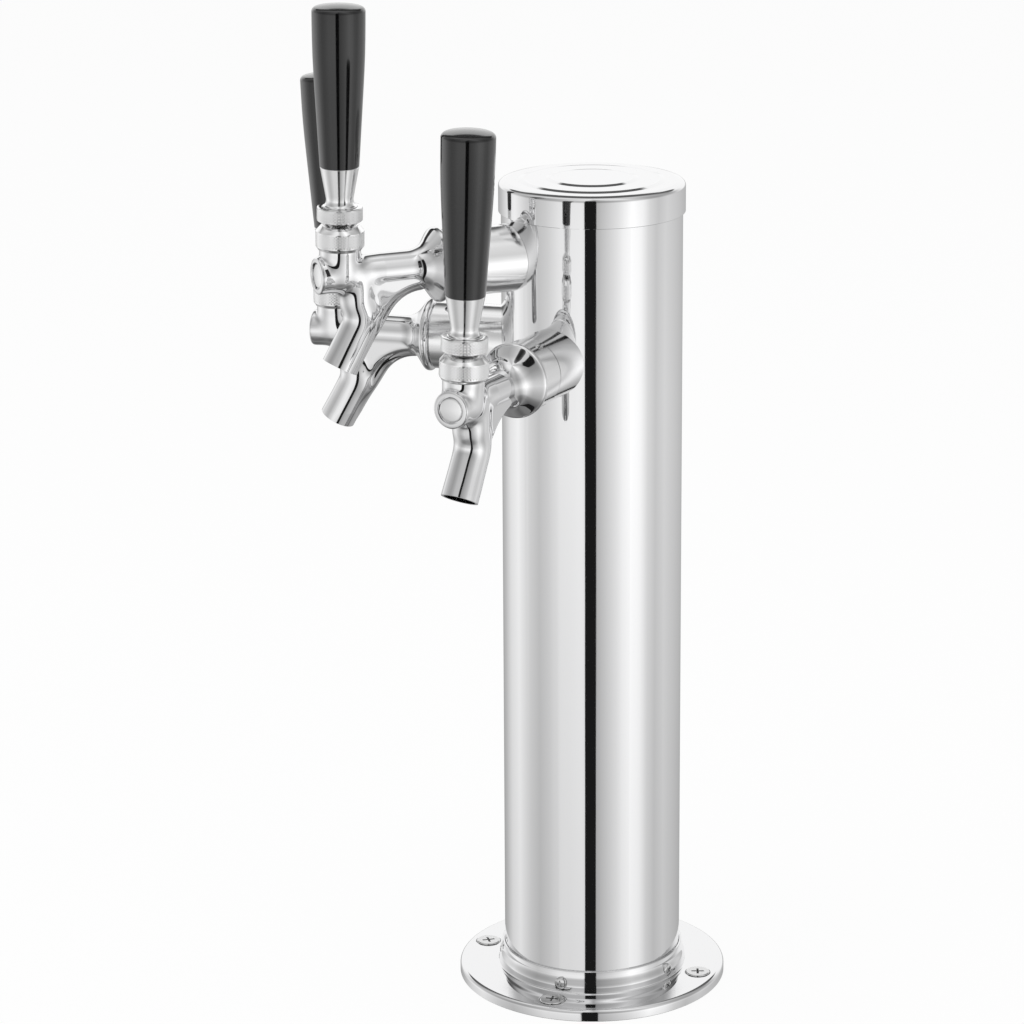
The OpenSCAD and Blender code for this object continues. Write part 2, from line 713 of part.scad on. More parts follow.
// The spout's tube and the web behind it, cut off square at the outlet
module spout_skin()
    difference() {
        union() {
            on_spout() {
                translate([-spout_bend_r, 0, -spout_run]) cylinder(h = spout_run, r = spout_r);
                bent_rod(spout_bend_r, spout_r, 180, -spout_bend_angle);
                rotate([0, spout_bend_angle, 0]) translate([-spout_bend_r, 0, 0]) sphere(r = spout_r);
            }
            translate(spout_bend_end) cylinder(h = -spout_bend_end[2], r = spout_r);
            web_plate();
            on_web() {
                bent_rod(web_line_r, web_rim_r, 0, 90 - web_tilt_angle);
                translate([web_line_r, 0, -web_run]) cylinder(h = web_run, r = web_rim_r);
            }
        }
        on_spout() translate([-3 * spout_bend_r, -web_run, -spout_run - web_run])
            cube([6 * spout_bend_r, 2 * web_run, web_run]);
    }

// The plate of the web: as thick as the tube at its root and tapering downward to its rim
module web_plate()
    intersection() {
        rotate([90, 0, 0]) translate([0, 0, -tube_r]) linear_extrude(2 * tube_r) difference() {
            polygon([
                [web_x, 0], [stack_x, 0], spout_top, spout_outlet, web_rim_end, web_rim_top,
                [web_x, web_h]
            ]);
            translate([web_x, web_h]) circle(r = web_line_r);
        }
        translate([web_x - overrun, 0, 0]) rotate([90, 0, 90])
            linear_extrude(web_setback + 4 * spout_bend_r) polygon([
                [-web_root_r, overrun], [web_root_r, overrun], [web_root_r, 0], [web_rim_r, -web_taper_drop],
                [web_rim_r, -web_taper_drop - web_run], [-web_rim_r, -web_taper_drop - web_run],
                [-web_rim_r, -web_taper_drop], [-web_root_r, 0]
            ]);
    }

module spout_bore() {
    on_spout() {
        translate([-spout_bend_r, 0, -spout_run - overrun])
            cylinder(h = spout_run + overrun, r = spout_bore_r);
        bent_rod(spout_bend_r, spout_bore_r, 180, -spout_bend_angle);
    }
    translate(spout_bend_end) cylinder(h = -spout_bend_end[2], r = joining_bore_r);
}

module boss_plug()
    color("gainsboro") about_x() polygon([
        [0, boss_x1 - plug_seat_l], [plug_seat_r - running_gap, boss_x1 - plug_seat_l],
        [plug_seat_r - running_gap, boss_x1 - plug_seat_l + plug_t - plug_dome],
        [plug_seat_r - running_gap - plug_dome, boss_x1 - plug_seat_l + plug_t],
        [0, boss_x1 - plug_seat_l + plug_t]
    ]);

module valve_shaft()
    color("silver") difference() {
        union() {
            rod_x(shaft_end_x0, seat_washer_x0 - running_gap, shaft_end_r);
            rod_x(shaft_end_x0, stack_x, shaft_rod_r);
            rod_x(seat_x, seat_x + shaft_shoulder_l, shaft_shoulder_r);
            for (setback = wing_setbacks) guide_wings(seat_x + setback);
            intersection() {
                rod_x(stack_x - shaft_head_half_l, stack_x + shaft_head_half_l, shaft_head_r);
                on_stack() translate([-shaft_head_half_l, -shaft_head_flat, -shaft_head_r])
                    cube(2 * [shaft_head_half_l, shaft_head_flat, shaft_head_r]);
            }
        }
        on_stack(slot_floor_h) translate([-tip_r - tip_side_gap, -shaft_head_r, 0])
            cube(2 * [tip_r + tip_side_gap, shaft_head_r, shaft_head_r]);
    }

// Four fins that centre the shaft in the body's bore and let the beer past
module guide_wings(x)
    intersection() {
        rod_x(x, x + wing_l, wing_r);
        for (turn = [0, 90]) rotate([turn, 0, 0])
            translate([x, -wing_t / 2, -wing_r]) cube([wing_l, wing_t, 2 * wing_r]);
    }

module seat_washer()
    color("dimgray")
        ring_x(seat_washer_x0, seat_x - running_gap, seat_washer_r, shaft_rod_r + running_gap);

module ball_washer()
    color("dimgray") on_stack() difference() {
        translate([0, 0, ball_washer_h0])
            ring(ball_washer_t, stack_bore_r - running_gap, ball_r - ball_washer_margin);
        translate([0, 0, pivot_h]) sphere(r = ball_r + running_gap);
    }

module friction_washer()
    color("dimgray") on_stack() difference() {
        translate([0, 0, bonnet_roof_h - friction_washer_t])
            ring(friction_washer_t, stack_bore_r - friction_washer_inset, ball_r - friction_washer_margin);
        translate([0, 0, pivot_h]) sphere(r = ball_r + running_gap);
    }

module bonnet()
    color("silver") on_stack() rotate_extrude() polygon([
        [neck_thread_r + running_gap, neck_h], [bonnet_r - bonnet_foot_chamfer, neck_h],
        [bonnet_r, neck_h + bonnet_foot_chamfer], [bonnet_r, bonnet_h1 - bonnet_chamfer],
        [bonnet_r - bonnet_chamfer, bonnet_h1],
        [ball_r + opening_flare, bonnet_h1], [ball_r - opening_inset, bonnet_roof_h],
        [neck_thread_r + running_gap, bonnet_roof_h]
    ]);

module lever()
    color("silver") on_stack() {
        translate([0, 0, pivot_h]) sphere(r = ball_r);
        translate([0, 0, pivot_h - tip_arm]) sphere(r = tip_r);
        translate([0, 0, pivot_h - tip_arm]) cylinder(h = tip_arm, r = lever_arm_r);
        translate([0, 0, pivot_h]) cylinder(h = lever_collar_h0 + dish_depth - pivot_h, r = lever_stem_r);
        translate([0, 0, lever_collar_h0 + dish_depth])
            cylinder(h = lever_thread_h1 - lever_collar_h0 - dish_depth, r = lever_thread_r);
    }

module lever_collar()
    color("silver") on_stack() rotate_extrude() polygon([
        [lever_thread_r + running_gap, lever_collar_h0 + dish_depth],
        [lever_collar_r - dish_rim, lever_collar_h0 + dish_depth],
        [lever_collar_r - dish_rim, lever_collar_h0],
        [lever_collar_r, lever_collar_h0],
        [lever_collar_r, lever_collar_h1 - lever_collar_chamfer],
        [lever_collar_r - lever_collar_chamfer, lever_collar_h1],
        [lever_thread_r + running_gap, lever_collar_h1]
    ]);

// The ferrule sweeps in to a waist over its foot and widens from there as a cone to the grip
module ferrule()
    color("silver") on_stack() difference() {
        union() {
            rotate_extrude() polygon(concat(
                [[0, lever_collar_h1], [ferrule_foot_r, lever_collar_h1]],
                [
                    for (i = [0:arc_steps]) [
                        ferrule_foot_r - (ferrule_foot_r - ferrule_waist_r) * sin(90 * i / arc_steps),
                        lever_collar_h1 + ferrule_waist_h
                            - (ferrule_waist_h - ferrule_foot_h) * cos(90 * i / arc_steps)
                    ]
                ],
                [[ferrule_top_r, ferrule_h1], [0, ferrule_h1]]
            ));
            translate([0, 0, ferrule_h1]) cylinder(h = handle_spigot_l, r = handle_spigot_r);
        }
        translate([0, 0, lever_collar_h1 - overrun])
            cylinder(h = ferrule_h - ferrule_crown_t + overrun, r = lever_thread_r + running_gap);
    }

module grip()
    color([0.05, 0.05, 0.06]) on_stack() difference() {
        rotate_extrude() polygon(concat(
            [[0, ferrule_h1]],
            [for (s = grip_outline_shares) [s[1] * grip_r, ferrule_h1 + s[0] * grip_h]],
            arc([grip_r - grip_edge_r, grip_h1 - grip_edge_r], grip_edge_r, 0, 90),
            [[0, grip_h1 + grip_crown]]
        ));
        translate([0, 0, ferrule_h1 - overrun])
            cylinder(
                h = handle_spigot_l + handle_spigot_gap + overrun, r = handle_spigot_r + running_gap
            );
    }

column();
column_cap();
cap_gasket();
base_flange();
base_gasket();
mounting_screws();
collar_screws();
for (t = [0:2]) {
    at_tap(t) {
        coupling_gasket();  // coupling_gaskets
        tail_washer();  // tail_washers
        inner_saddle();  // inner_saddles
        shank();
        shank_spacer();
        lock_nut();
        tail_elbow(tail_arm_ls[t]);
        tail_nut();
    }
    at_faucet(t) {
        friction_washer();  // friction_washers
        ball_washer();  // ball_washers
        coupling_nut();
        faucet_body();
        boss_plug();
        valve_shaft();
        seat_washer();
        bonnet();
    }
    at_handle(t) {
        lever();
        lever_collar();
        ferrule();
        grip();
    }
}
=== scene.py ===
"""Polished beer tower with three lever faucets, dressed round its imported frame."""
import json
from math import atan2, cos, pi, radians, sin, sqrt

import bmesh
import bpy
from mathutils import Matrix, Vector


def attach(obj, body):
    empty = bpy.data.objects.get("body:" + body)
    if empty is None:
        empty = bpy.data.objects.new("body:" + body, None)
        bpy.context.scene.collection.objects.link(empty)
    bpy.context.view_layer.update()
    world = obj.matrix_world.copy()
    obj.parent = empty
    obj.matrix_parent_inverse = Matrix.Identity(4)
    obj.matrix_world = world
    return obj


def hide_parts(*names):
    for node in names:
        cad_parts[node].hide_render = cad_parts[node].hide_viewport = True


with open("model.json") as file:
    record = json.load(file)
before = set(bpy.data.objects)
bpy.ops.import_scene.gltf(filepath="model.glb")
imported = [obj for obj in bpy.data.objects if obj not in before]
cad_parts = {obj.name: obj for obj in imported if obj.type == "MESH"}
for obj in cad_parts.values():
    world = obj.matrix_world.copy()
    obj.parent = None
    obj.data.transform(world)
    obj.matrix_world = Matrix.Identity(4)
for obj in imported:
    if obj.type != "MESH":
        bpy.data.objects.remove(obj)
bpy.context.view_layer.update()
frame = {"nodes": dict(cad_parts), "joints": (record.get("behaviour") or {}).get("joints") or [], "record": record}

MM = 0.001
SIDES = ("left", "centre", "right")
JOINTS = {joint["name"]: joint for joint in frame["joints"]}

# Camera: where the photograph was taken from, in millimetres from the foot of the tower
CAMERA_REACH = 1487.2
CAMERA_HEIGHT = 651.4
CAMERA_AZIMUTH = radians(65.43)
CAMERA_PITCH = radians(13.667)
CAMERA_CLIP = 0.05
FRAME_PX = 1024
FOCAL_PX = 3635.2
AIM_PX = (592.0, 326.4)
SENSOR_WIDTH = 36.0


def place_camera():
    data = bpy.data.cameras.new("camera")
    data.sensor_fit = "HORIZONTAL"
    data.sensor_width = SENSOR_WIDTH
    data.lens = FOCAL_PX / FRAME_PX * SENSOR_WIDTH
    data.shift_x = (FRAME_PX / 2 - AIM_PX[0]) / FRAME_PX
    data.shift_y = (AIM_PX[1] - FRAME_PX / 2) / FRAME_PX
    data.clip_start = CAMERA_CLIP
    camera = bpy.data.objects.new("camera", data)
    camera.location = (
        CAMERA_REACH * MM * sin(CAMERA_AZIMUTH),
        -CAMERA_REACH * MM * cos(CAMERA_AZIMUTH),
        CAMERA_HEIGHT * MM,
    )
    camera.rotation_euler = (pi / 2 - CAMERA_PITCH, 0, CAMERA_AZIMUTH)
    bpy.context.scene.collection.objects.link(camera)
    bpy.context.scene.camera = camera


place_camera()
bpy.context.scene.view_settings.view_transform = "Standard"


# Shader maths as Python expressions
class Signal:
    """A node's output that adds Math nodes when it is used in a sum."""

    def __init__(self, graph, socket):
        self.graph = graph
        self.socket = socket

    def math(self, operation, *others):
        return self.graph.math(operation, self, *others)

    def __add__(self, other):
        return self.math("ADD", other)

    def __sub__(self, other):
        return self.math("SUBTRACT", other)

    def __mul__(self, other):
        return self.math("MULTIPLY", other)

    def __truediv__(self, other):
        return self.math("DIVIDE", other)

    def __rsub__(self, other):
        return self.graph.math("SUBTRACT", other, self)

    __radd__ = __add__
    __rmul__ = __mul__

    def between(self, low, high):
        """0 at low and 1 at high, smooth between them."""
        settings = {"interpolation_type": "SMOOTHSTEP"}
        sockets = {"Value": self, "From Min": low, "From Max": high}
        return self.graph.node("ShaderNodeMapRange", settings, sockets).out()


class Node:
    """A node whose outputs are signals."""

    def __init__(self, graph, node):
        self.graph = graph
        self.node = node

    def out(self, name=0):
        return Signal(self.graph, self.node.outputs[name])


class Graph:
    """A node tree that is being written."""

    def __init__(self, tree):
        self.tree = tree
        tree.nodes.clear()

    def node(self, kind, settings=None, inputs=None):
        """Adds a node: its settings first, then the values or links of its sockets."""
        node = self.tree.nodes.new(kind)
        for name, value in (settings or {}).items():
            if name == "stops":
                self.set_stops(node.color_ramp, value)
            else:
                setattr(node, name, value)
        pairs = inputs.items() if isinstance(inputs, dict) else enumerate(inputs or [])
        for name, value in pairs:
            if isinstance(value, Signal):
                self.tree.links.new(value.socket, node.inputs[name])
            else:
                node.inputs[name].default_value = value
        return Node(self, node)

    @staticmethod
    def set_stops(ramp, stops):
        """Writes stops of (place, grey tone) on a ramp."""
        while len(ramp.elements) < len(stops):
            ramp.elements.new(1)
        for element, (place, tone) in zip(ramp.elements, stops):
            element.position = place
            element.color = (tone, tone, tone, 1)

    def math(self, operation, *values):
        return self.node("ShaderNodeMath", {"operation": operation}, values).out()

    def where(self):
        """The point on the piece, in metres in the tower's own frame."""
        return self.node("ShaderNodeTexCoord").out("Object")

    def parts(self, vector):
        split = self.node("ShaderNodeSeparateXYZ", None, [vector])
        return split.out("X"), split.out("Y"), split.out("Z")

    def noise(self, vector, scale, detail=2):
        sockets = {"Vector": vector, "Scale": scale, "Detail": detail}
        return self.node("ShaderNodeTexNoise", None, sockets).out(0)

    def marks(self, stretch, detail):
        """Noise with its own number of grains a metre along each axis."""
        settings = {"operation": "MULTIPLY"}
        stretched = self.node("ShaderNodeVectorMath", settings, [self.where(), stretch]).out()
        return self.noise(stretched, 1.0, detail)

    def tint(self, share, low, high):
        """A colour between low and high."""
        settings = {"data_type": "RGBA"}
        sockets = {0: share, 6: (*low, 1), 7: (*high, 1)}
        return self.node("ShaderNodeMix", settings, sockets).out(2)

    def bump(self, height, strength, distance):
        sockets = {"Height": height, "Strength": strength, "Distance": distance}
        return self.node("ShaderNodeBump", None, sockets).out("Normal")

    def end_in(self, kind, shader):
        """Joins a shader to the tree's output node."""
        target = self.node(kind)
        self.tree.links.new(shader.socket, target.node.inputs["Surface"])


def new_material(name):
    material = bpy.data.materials.new(name)
    material.use_nodes = True
    return material, Graph(material.node_tree)


def principled(graph, **sockets):
    names = {name.replace("_", " "): value for name, value in sockets.items()}
    return graph.node("ShaderNodeBsdfPrincipled", None, names).out("BSDF")


def finish_with(graph, **sockets):
    graph.end_in("ShaderNodeOutputMaterial", principled(graph, **sockets))


# Studio: the cards, the camera's dark slot and the ceiling that the polished metal shows
# Angle from the camera's side towards the right of the picture in degrees, and the tone there
STUDIO_BANDS = (
    (-180, 0.4), (-168, 0.42), (-148, 0.58), (-128, 0.88), (-109, 1.02), (-87, 0.74), (-72, 0.62),
    (-58, 0.72), (-41, 0.92), (-12, 0.98), (5, 0.5), (12, 0.62), (32, 0.9), (50, 1.24), (65, 1.08),
    (76, 0.8), (89, 0.66), (106, 0.76), (125, 0.68), (160, 0.52), (180, 0.4),
)
# The slot is dark between its two middle angles and fades out over the height of its top
SLOT_SPAN = 20
DARK_SLOT = ((-SLOT_SPAN, 1), (-9.5, 1), (-8.9, 0), (4.9, 0), (5.5, 1), (SLOT_SPAN, 1))
SLOT_TOP = (44.0, 52.0)
SLOT_TONE = 0.012
# Angle over the horizon in degrees, and the share of the band's tone that is left there
FRONT_HEIGHTS = (
    (-90, 0.2), (-60, 0.22), (-50, 0.34), (-42, 0.62), (-29, 0.78), (-23, 0.88), (-15, 1.04),
    (-4, 0.94), (8, 0.7), (20, 0.55), (42, 0.62), (53, 0.74), (63, 0.92), (90, 0.92),
)
# The tones behind the tower: a white backdrop, the dark over it and the lamp overhead
BACK_HEIGHTS = (
    (-90, 0.25), (-40, 0.28), (-9, 0.5), (3, 1.06), (27.5, 1.06), (30, 0.1), (43, 0.13),
    (51, 0.36), (60, 0.72), (70, 0.96), (90, 0.96),
)
BACK_ANGLES = (112.0, 150.0)
BACKDROP_FOOT = (-9.0, -2.0)


def light_studio():
    """The world: bands round the tower times their fall with height, with a backdrop behind."""
    world = bpy.data.worlds.new("studio")
    bpy.context.scene.world = world
    world.use_nodes = True
    graph = Graph(world.node_tree)
    direction = graph.node("ShaderNodeTexCoord").out("Generated")
    turn = {"Vector": direction, "Angle": pi / 2 - CAMERA_AZIMUTH}
    seen = graph.node("ShaderNodeVectorRotate", {"rotation_type": "Z_AXIS"}, turn).out()
    x, y, z = graph.parts(seen)
    angle = y.math("ARCTAN2", x) * (180 / pi)
    height = z.math("ARCSINE") * (180 / pi)

    def ramp(signal, reach, points):
        stops = [((place + reach) / (2 * reach), tone) for place, tone in points]
        share = (signal + reach) / (2 * reach)
        return graph.node("ShaderNodeValToRGB", {"stops": stops}, [share]).out()

    front = ramp(angle, 180, STUDIO_BANDS) * ramp(height, 90, FRONT_HEIGHTS)
    backdrop = ramp(height, 90, BACK_HEIGHTS)
    low_down = 1 - height.between(*BACKDROP_FOOT)
    back = front * low_down + backdrop * (1 - low_down)
    behind = angle.math("ABSOLUTE").between(*BACK_ANGLES)
    tone = front * (1 - behind) + back * behind
    slot = ramp(angle, SLOT_SPAN, DARK_SLOT)
    shut = (1 - slot) * (1 - height.between(*SLOT_TOP))
    tone = tone * (1 - shut) + shut * SLOT_TONE
    sockets = {"Color": tone, "Strength": 1.0}
    graph.end_in("ShaderNodeOutputWorld", graph.node("ShaderNodeBackground", None, sockets).out())


FLOOR_SIZE = 24.0
FLOOR_TINT = (0.86, 0.86, 0.86, 1)
# Share of plain white in the floor that the camera sees; the rest keeps the tower's shadow
FLOOR_WHITE = 0.93
# Name, place in metres, size in metres and power in watts
LAMPS = (
    ("overhead", (0.2, -0.5, 2.4), 2.2, 26.0),
    ("left_side", (0.1, -2.4, 1.1), 1.4, 9.0),
)
LAMP_AIM = Vector((0, 0, 0.2))


def lay_floor():
    bm = bmesh.new()
    bmesh.ops.create_grid(bm, x_segments=1, y_segments=1, size=FLOOR_SIZE / 2)
    mesh = bpy.data.meshes.new("floor")
    bm.to_mesh(mesh)
    bm.free()
    floor = bpy.data.objects.new("floor", mesh)
    bpy.context.scene.collection.objects.link(floor)
    floor.visible_glossy = False
    material, graph = new_material("pale_floor")
    seen = graph.node("ShaderNodeLightPath").out("Is Camera Ray")
    lit = principled(graph, Base_Color=FLOOR_TINT, Roughness=0.9)
    glow = graph.node("ShaderNodeEmission", None, {"Color": (1, 1, 1, 1), "Strength": 1.0}).out()
    mixed = graph.node("ShaderNodeMixShader", None, [seen * FLOOR_WHITE, lit, glow]).out()
    graph.end_in("ShaderNodeOutputMaterial", mixed)
    mesh.materials.append(material)


def hang_lamps():
    for name, place, size, power in LAMPS:
        data = bpy.data.lights.new(name, "AREA")
        data.shape = "DISK"
        data.size = size
        data.energy = power
        lamp = bpy.data.objects.new(name, data)
        lamp.location = place
        lamp.rotation_euler = (LAMP_AIM - lamp.location).to_track_quat("-Z", "Y").to_euler()
        lamp.visible_glossy = False
        bpy.context.scene.collection.objects.link(lamp)


# Finishes: tints, then grains a metre along X, Y and Z
STEEL_TINT = (0.83, 0.83, 0.835, 1)
CHROME_TINT = (0.86, 0.86, 0.865, 1)
SATIN_TINT = (0.94, 0.94, 0.942, 1)
GRIP_BLACK = (0.002, 0.002, 0.0022)
FLECK_GREY = (0.012, 0.012, 0.013)
RUBBER_BLACK = (0.05, 0.05, 0.05)
PLASTIC_WHITE = (0.82, 0.82, 0.8)
UPRIGHT_GRAIN = (900, 900, 6)
TURNING_MARKS = (60, 60, 5000)
EVEN_MARKS = (1500, 1500, 1500)


def polished_steel(name):
    """Mirror-polished stainless sheet with the faintest trace of upright polishing."""
    material, graph = new_material(name)
    grain = graph.marks(UPRIGHT_GRAIN, 3)
    haze = graph.noise(graph.where(), 14.0)
    finish_with(
        graph, Base_Color=STEEL_TINT, Metallic=1.0, Roughness=0.022 + haze * 0.02 + grain * 0.012,
        Normal=graph.bump(grain, 0.02, 0.0002))
    return material


def chrome_plate(name):
    """Bright chrome over a cast body, with the soft waviness of hand polishing."""
    material, graph = new_material(name)
    wave = graph.noise(graph.where(), 60.0, 1)
    haze = graph.noise(graph.where(), 220.0, 3)
    finish_with(
        graph, Base_Color=CHROME_TINT, Metallic=1.0, Roughness=0.035 + haze * 0.03,
        Normal=graph.bump(wave, 0.06, 0.0006))
    return material


def satin_chrome(name):
    """Knurled and turned rings: chrome with a satin sheen and fine turning marks."""
    material, graph = new_material(name)
    haze = graph.noise(graph.where(), 300.0)
    finish_with(
        graph, Base_Color=SATIN_TINT, Metallic=1.0, Roughness=0.09 + haze * 0.08,
        Normal=graph.bump(graph.marks(TURNING_MARKS, 2), 0.05, 0.0001))
    return material


def turned_steel(name, tone, roughness):
    """Plain turned steel of the screws and of the pieces inside."""
    material, graph = new_material(name)
    marks = graph.marks(EVEN_MARKS, 3)
    finish_with(
        graph, Base_Color=graph.tint(marks, (tone * 0.9,) * 3, (tone,) * 3), Metallic=1.0,
        Roughness=roughness + marks * 0.08, Normal=graph.bump(marks, 0.08, 0.0001))
    return material


def black_grip(name):
    """Glossy black moulded plastic with a slight orange-peel and dust-fine flecks."""
    material, graph = new_material(name)
    peel = graph.noise(graph.where(), 900.0)
    flecks = graph.noise(graph.where(), 5200.0, 1).between(0.62, 0.7)
    finish_with(
        graph, Base_Color=graph.tint(flecks, GRIP_BLACK, FLECK_GREY),
        Roughness=0.09 + flecks * 0.2, Normal=graph.bump(peel, 0.03, 0.0002), Coat_Weight=0.5,
        Coat_Roughness=0.05, IOR=1.54)
    return material


def dull(name, tint, roughness):
    """Rubber and low-friction plastic of the washers and gaskets."""
    material, graph = new_material(name)
    grain = graph.noise(graph.where(), 2500.0, 3)
    low = tuple(0.85 * part for part in tint)
    finish_with(
        graph, Base_Color=graph.tint(grain, low, tint), Roughness=roughness + grain * 0.1,
        Normal=graph.bump(grain, 0.15, 0.0001))
    return material


FINISH = {
    "polished_steel": polished_steel("polished_steel"),
    "chrome_body": chrome_plate("chrome_plate"),
    "chrome_trim": satin_chrome("satin_chrome"),
    "screw_steel": turned_steel("screw_steel", 0.78, 0.12),
    "plain_steel": turned_steel("plain_steel", 0.7, 0.22),
    "black_grip": black_grip("black_grip"),
    "black_rubber": dull("black_rubber", RUBBER_BLACK, 0.6),
    "white_plastic": dull("white_plastic", PLASTIC_WHITE, 0.4),
}


def dress_cad_nodes():
    """Every carried-over node gets the finish of its slot in the record."""
    for entry in frame["record"]["subparts"]:
        node = frame["nodes"][entry["node"]]
        node.data.materials.clear()
        node.data.materials.append(FINISH[entry["material_slot"]])


# Making meshes, most of them from outlines of (radius, height) points in millimetres
ALL_ROUND_STEPS = 256
RING_STEPS = 128
SAME_POINT = 1e-7


def arc(centre, radius, start, end, steps=8):
    """Points on an arc in the plane of an outline, with angles in degrees."""
    angles = [radians(start + (end - start) * i / steps) for i in range(steps + 1)]
    return [(centre[0] + radius * cos(a), centre[1] + radius * sin(a)) for a in angles]


def rows(radius, low, high, step):
    """Points up a straight wall, close enough to carry a pattern."""
    count = max(1, round((high - low) / step))
    return [(radius, low + (high - low) * i / count) for i in range(count + 1)]


def moved(bm, place):
    bmesh.ops.transform(bm, matrix=place, verts=bm.verts[:])
    return bm


def turned(outline, steps=160, ring=False):
    """A body of revolution about Z; a ring's outline closes on itself."""
    bm = bmesh.new()
    chain = [bm.verts.new((r * MM, 0, h * MM)) for r, h in outline]
    following = chain[1:] + (chain[:1] if ring else [])
    edges = [bm.edges.new(pair) for pair in zip(chain, following)]
    bmesh.ops.spin(
        bm, geom=chain + edges, axis=(0, 0, 1), cent=(0, 0, 0), angle=2 * pi, steps=steps,
        use_merge=True)
    bmesh.ops.remove_doubles(bm, verts=bm.verts[:], dist=SAME_POINT)
    bmesh.ops.recalc_face_normals(bm, faces=bm.faces[:])
    return bm


def block(size, place):
    """A block whose size is in metres."""
    bm = bmesh.new()
    bmesh.ops.create_cube(bm, size=1.0)
    bmesh.ops.scale(bm, vec=size, verts=bm.verts[:])
    return moved(bm, place)


def take_in(whole, form):
    """Adds a form's faces to a bmesh and frees the form."""
    holder = bpy.data.meshes.new("holder")
    form.to_mesh(holder)
    form.free()
    whole.from_mesh(holder)
    bpy.data.meshes.remove(holder)


def joined(name, forms):
    """An object that holds several closed forms."""
    whole = bmesh.new()
    for form in forms:
        take_in(whole, form)
    mesh = bpy.data.meshes.new(name)
    whole.to_mesh(mesh)
    whole.free()
    piece = bpy.data.objects.new(name, mesh)
    bpy.context.scene.collection.objects.link(piece)
    return piece


def discard(piece):
    mesh = piece.data
    bpy.data.objects.remove(piece)
    bpy.data.meshes.remove(mesh)


def settle(piece):
    """Turns an object's modifiers into a mesh of their own and removes the object."""
    graph = bpy.context.evaluated_depsgraph_get()
    mesh = bpy.data.meshes.new_from_object(piece.evaluated_get(graph))
    discard(piece)
    return mesh


def cut_out(piece, forms):
    """The mesh of a piece with closed forms taken out of it one after another."""
    cutters = [joined("cutter", [form]) for form in forms]
    for cutter in cutters:
        boolean = piece.modifiers.new("cut", "BOOLEAN")
        boolean.operation = "DIFFERENCE"
        boolean.solver = "MANIFOLD"
        boolean.object = cutter
    mesh = settle(piece)
    for cutter in cutters:
        discard(cutter)
    return mesh


def opened(mesh):
    """A mesh as a bmesh; the mesh is removed."""
    bm = bmesh.new()
    bm.from_mesh(mesh)
    bpy.data.meshes.remove(mesh)
    return bm


def add_piece(name, bm, body, slot, stands_for, place=None, crease=32):
    """Makes the finished object: smooth but for its creases, riding on its body."""
    if place is not None:
        moved(bm, place)
    bm.normal_update()
    for face in bm.faces:
        face.smooth = True
    for edge in bm.edges:
        edge.smooth = edge.calc_face_angle(0) < radians(crease)
    mesh = bpy.data.meshes.new(name)
    bm.to_mesh(mesh)
    bm.free()
    mesh.materials.append(FINISH[slot])
    piece = bpy.data.objects.new(name, mesh)
    bpy.context.scene.collection.objects.link(piece)
    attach(piece, body)
    if stands_for:
        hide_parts(*stands_for)
    return piece


# Frames of the taps: X runs out from the column's axis, Z up. All sizes from here on are in
# millimetres, and heights at a tap are over its axis
PIVOT_HEIGHT = 14.0
SHUT_LEAN = {"left": 2.0, "centre": 0.0, "right": 1.4}
ON_X = Matrix.Rotation(pi / 2, 4, "Y")
CENTRE_PIVOT = Vector(JOINTS["centre_lever_tilt"]["pos_m"])
# How far from the column's axis the handle, its lever and the neck stand
STACK_X = round(-CENTRE_PIVOT.y / MM, 3)


def shifted(x, z=0.0):
    return Matrix.Translation((x * MM, 0, z * MM))


AT_STACK = shifted(STACK_X)


def tap_frame(side):
    joint = JOINTS[side + "_lever_tilt"]
    pivot = Vector(joint["pos_m"])
    across = Vector(joint["axis"]).normalized()
    out = Vector((across.y, -across.x, 0)).normalized()
    up = out.cross(across)
    frame_matrix = Matrix((out, across, up)).transposed().to_4x4()
    frame_matrix.translation = pivot - up * PIVOT_HEIGHT * MM - out * pivot.dot(out)
    return frame_matrix


TAPS = {side: tap_frame(side) for side in SIDES}


def handle_frame(side):
    """The tap's frame with its handle's lean about the ball of the lever."""
    lean = Matrix.Rotation(radians(SHUT_LEAN[side]), 4, "Y")
    return TAPS[side] @ shifted(STACK_X, PIVOT_HEIGHT) @ lean @ shifted(0, -PIVOT_HEIGHT)


# Knurled rings: the wall between two heights carries rows of diamonds
KNURL_COUNT = 48
KNURL_STEPS = 336
KNURL_DEPTH = 0.2
# How near a point is to the wall or to the end of the pattern when it counts as on it
WALL_REACH = 0.02
END_REACH = 0.01
# Break of a small edge
EASE = 0.1

COLLAR = {
    "radius": 9.3, "low": 22.4, "high": 28.2, "bore": 4.75, "chamfer": 0.3, "dish": 2.0,
    "rim": 1.0, "foot": 0.35, "knurl_from": 0.5, "row": 0.17, "mouth": (7.35, 7.2), "sunk": 0.12,
}
BONNET = {
    "radius": 10.0, "low": 10.5, "high": 20.6, "bore": 8.25, "roof": 17.9, "wall_inset": 0.12,
    "band": (12.3, 17.9), "row": 0.19, "mouth": (7.72, 7.6, 6.2), "knurl_count": KNURL_COUNT + 4,
}
# How far in from the bonnet's radius its outline lies, and how high over its foot or its band
BONNET_FOOT = ((1.15, 0), (1.0, 0.1), (0.9, 0.45), (0.45, 0.95), (0.2, 1.3), (0.12, 1.6))
BONNET_SHOULDER = ((0.12, 0.1), (0.15, 0.35), (0.5, 0.75))
# The same at the top, where the second number goes down
BONNET_CROWN = ((2.1, 0.12), (2.3, 0))


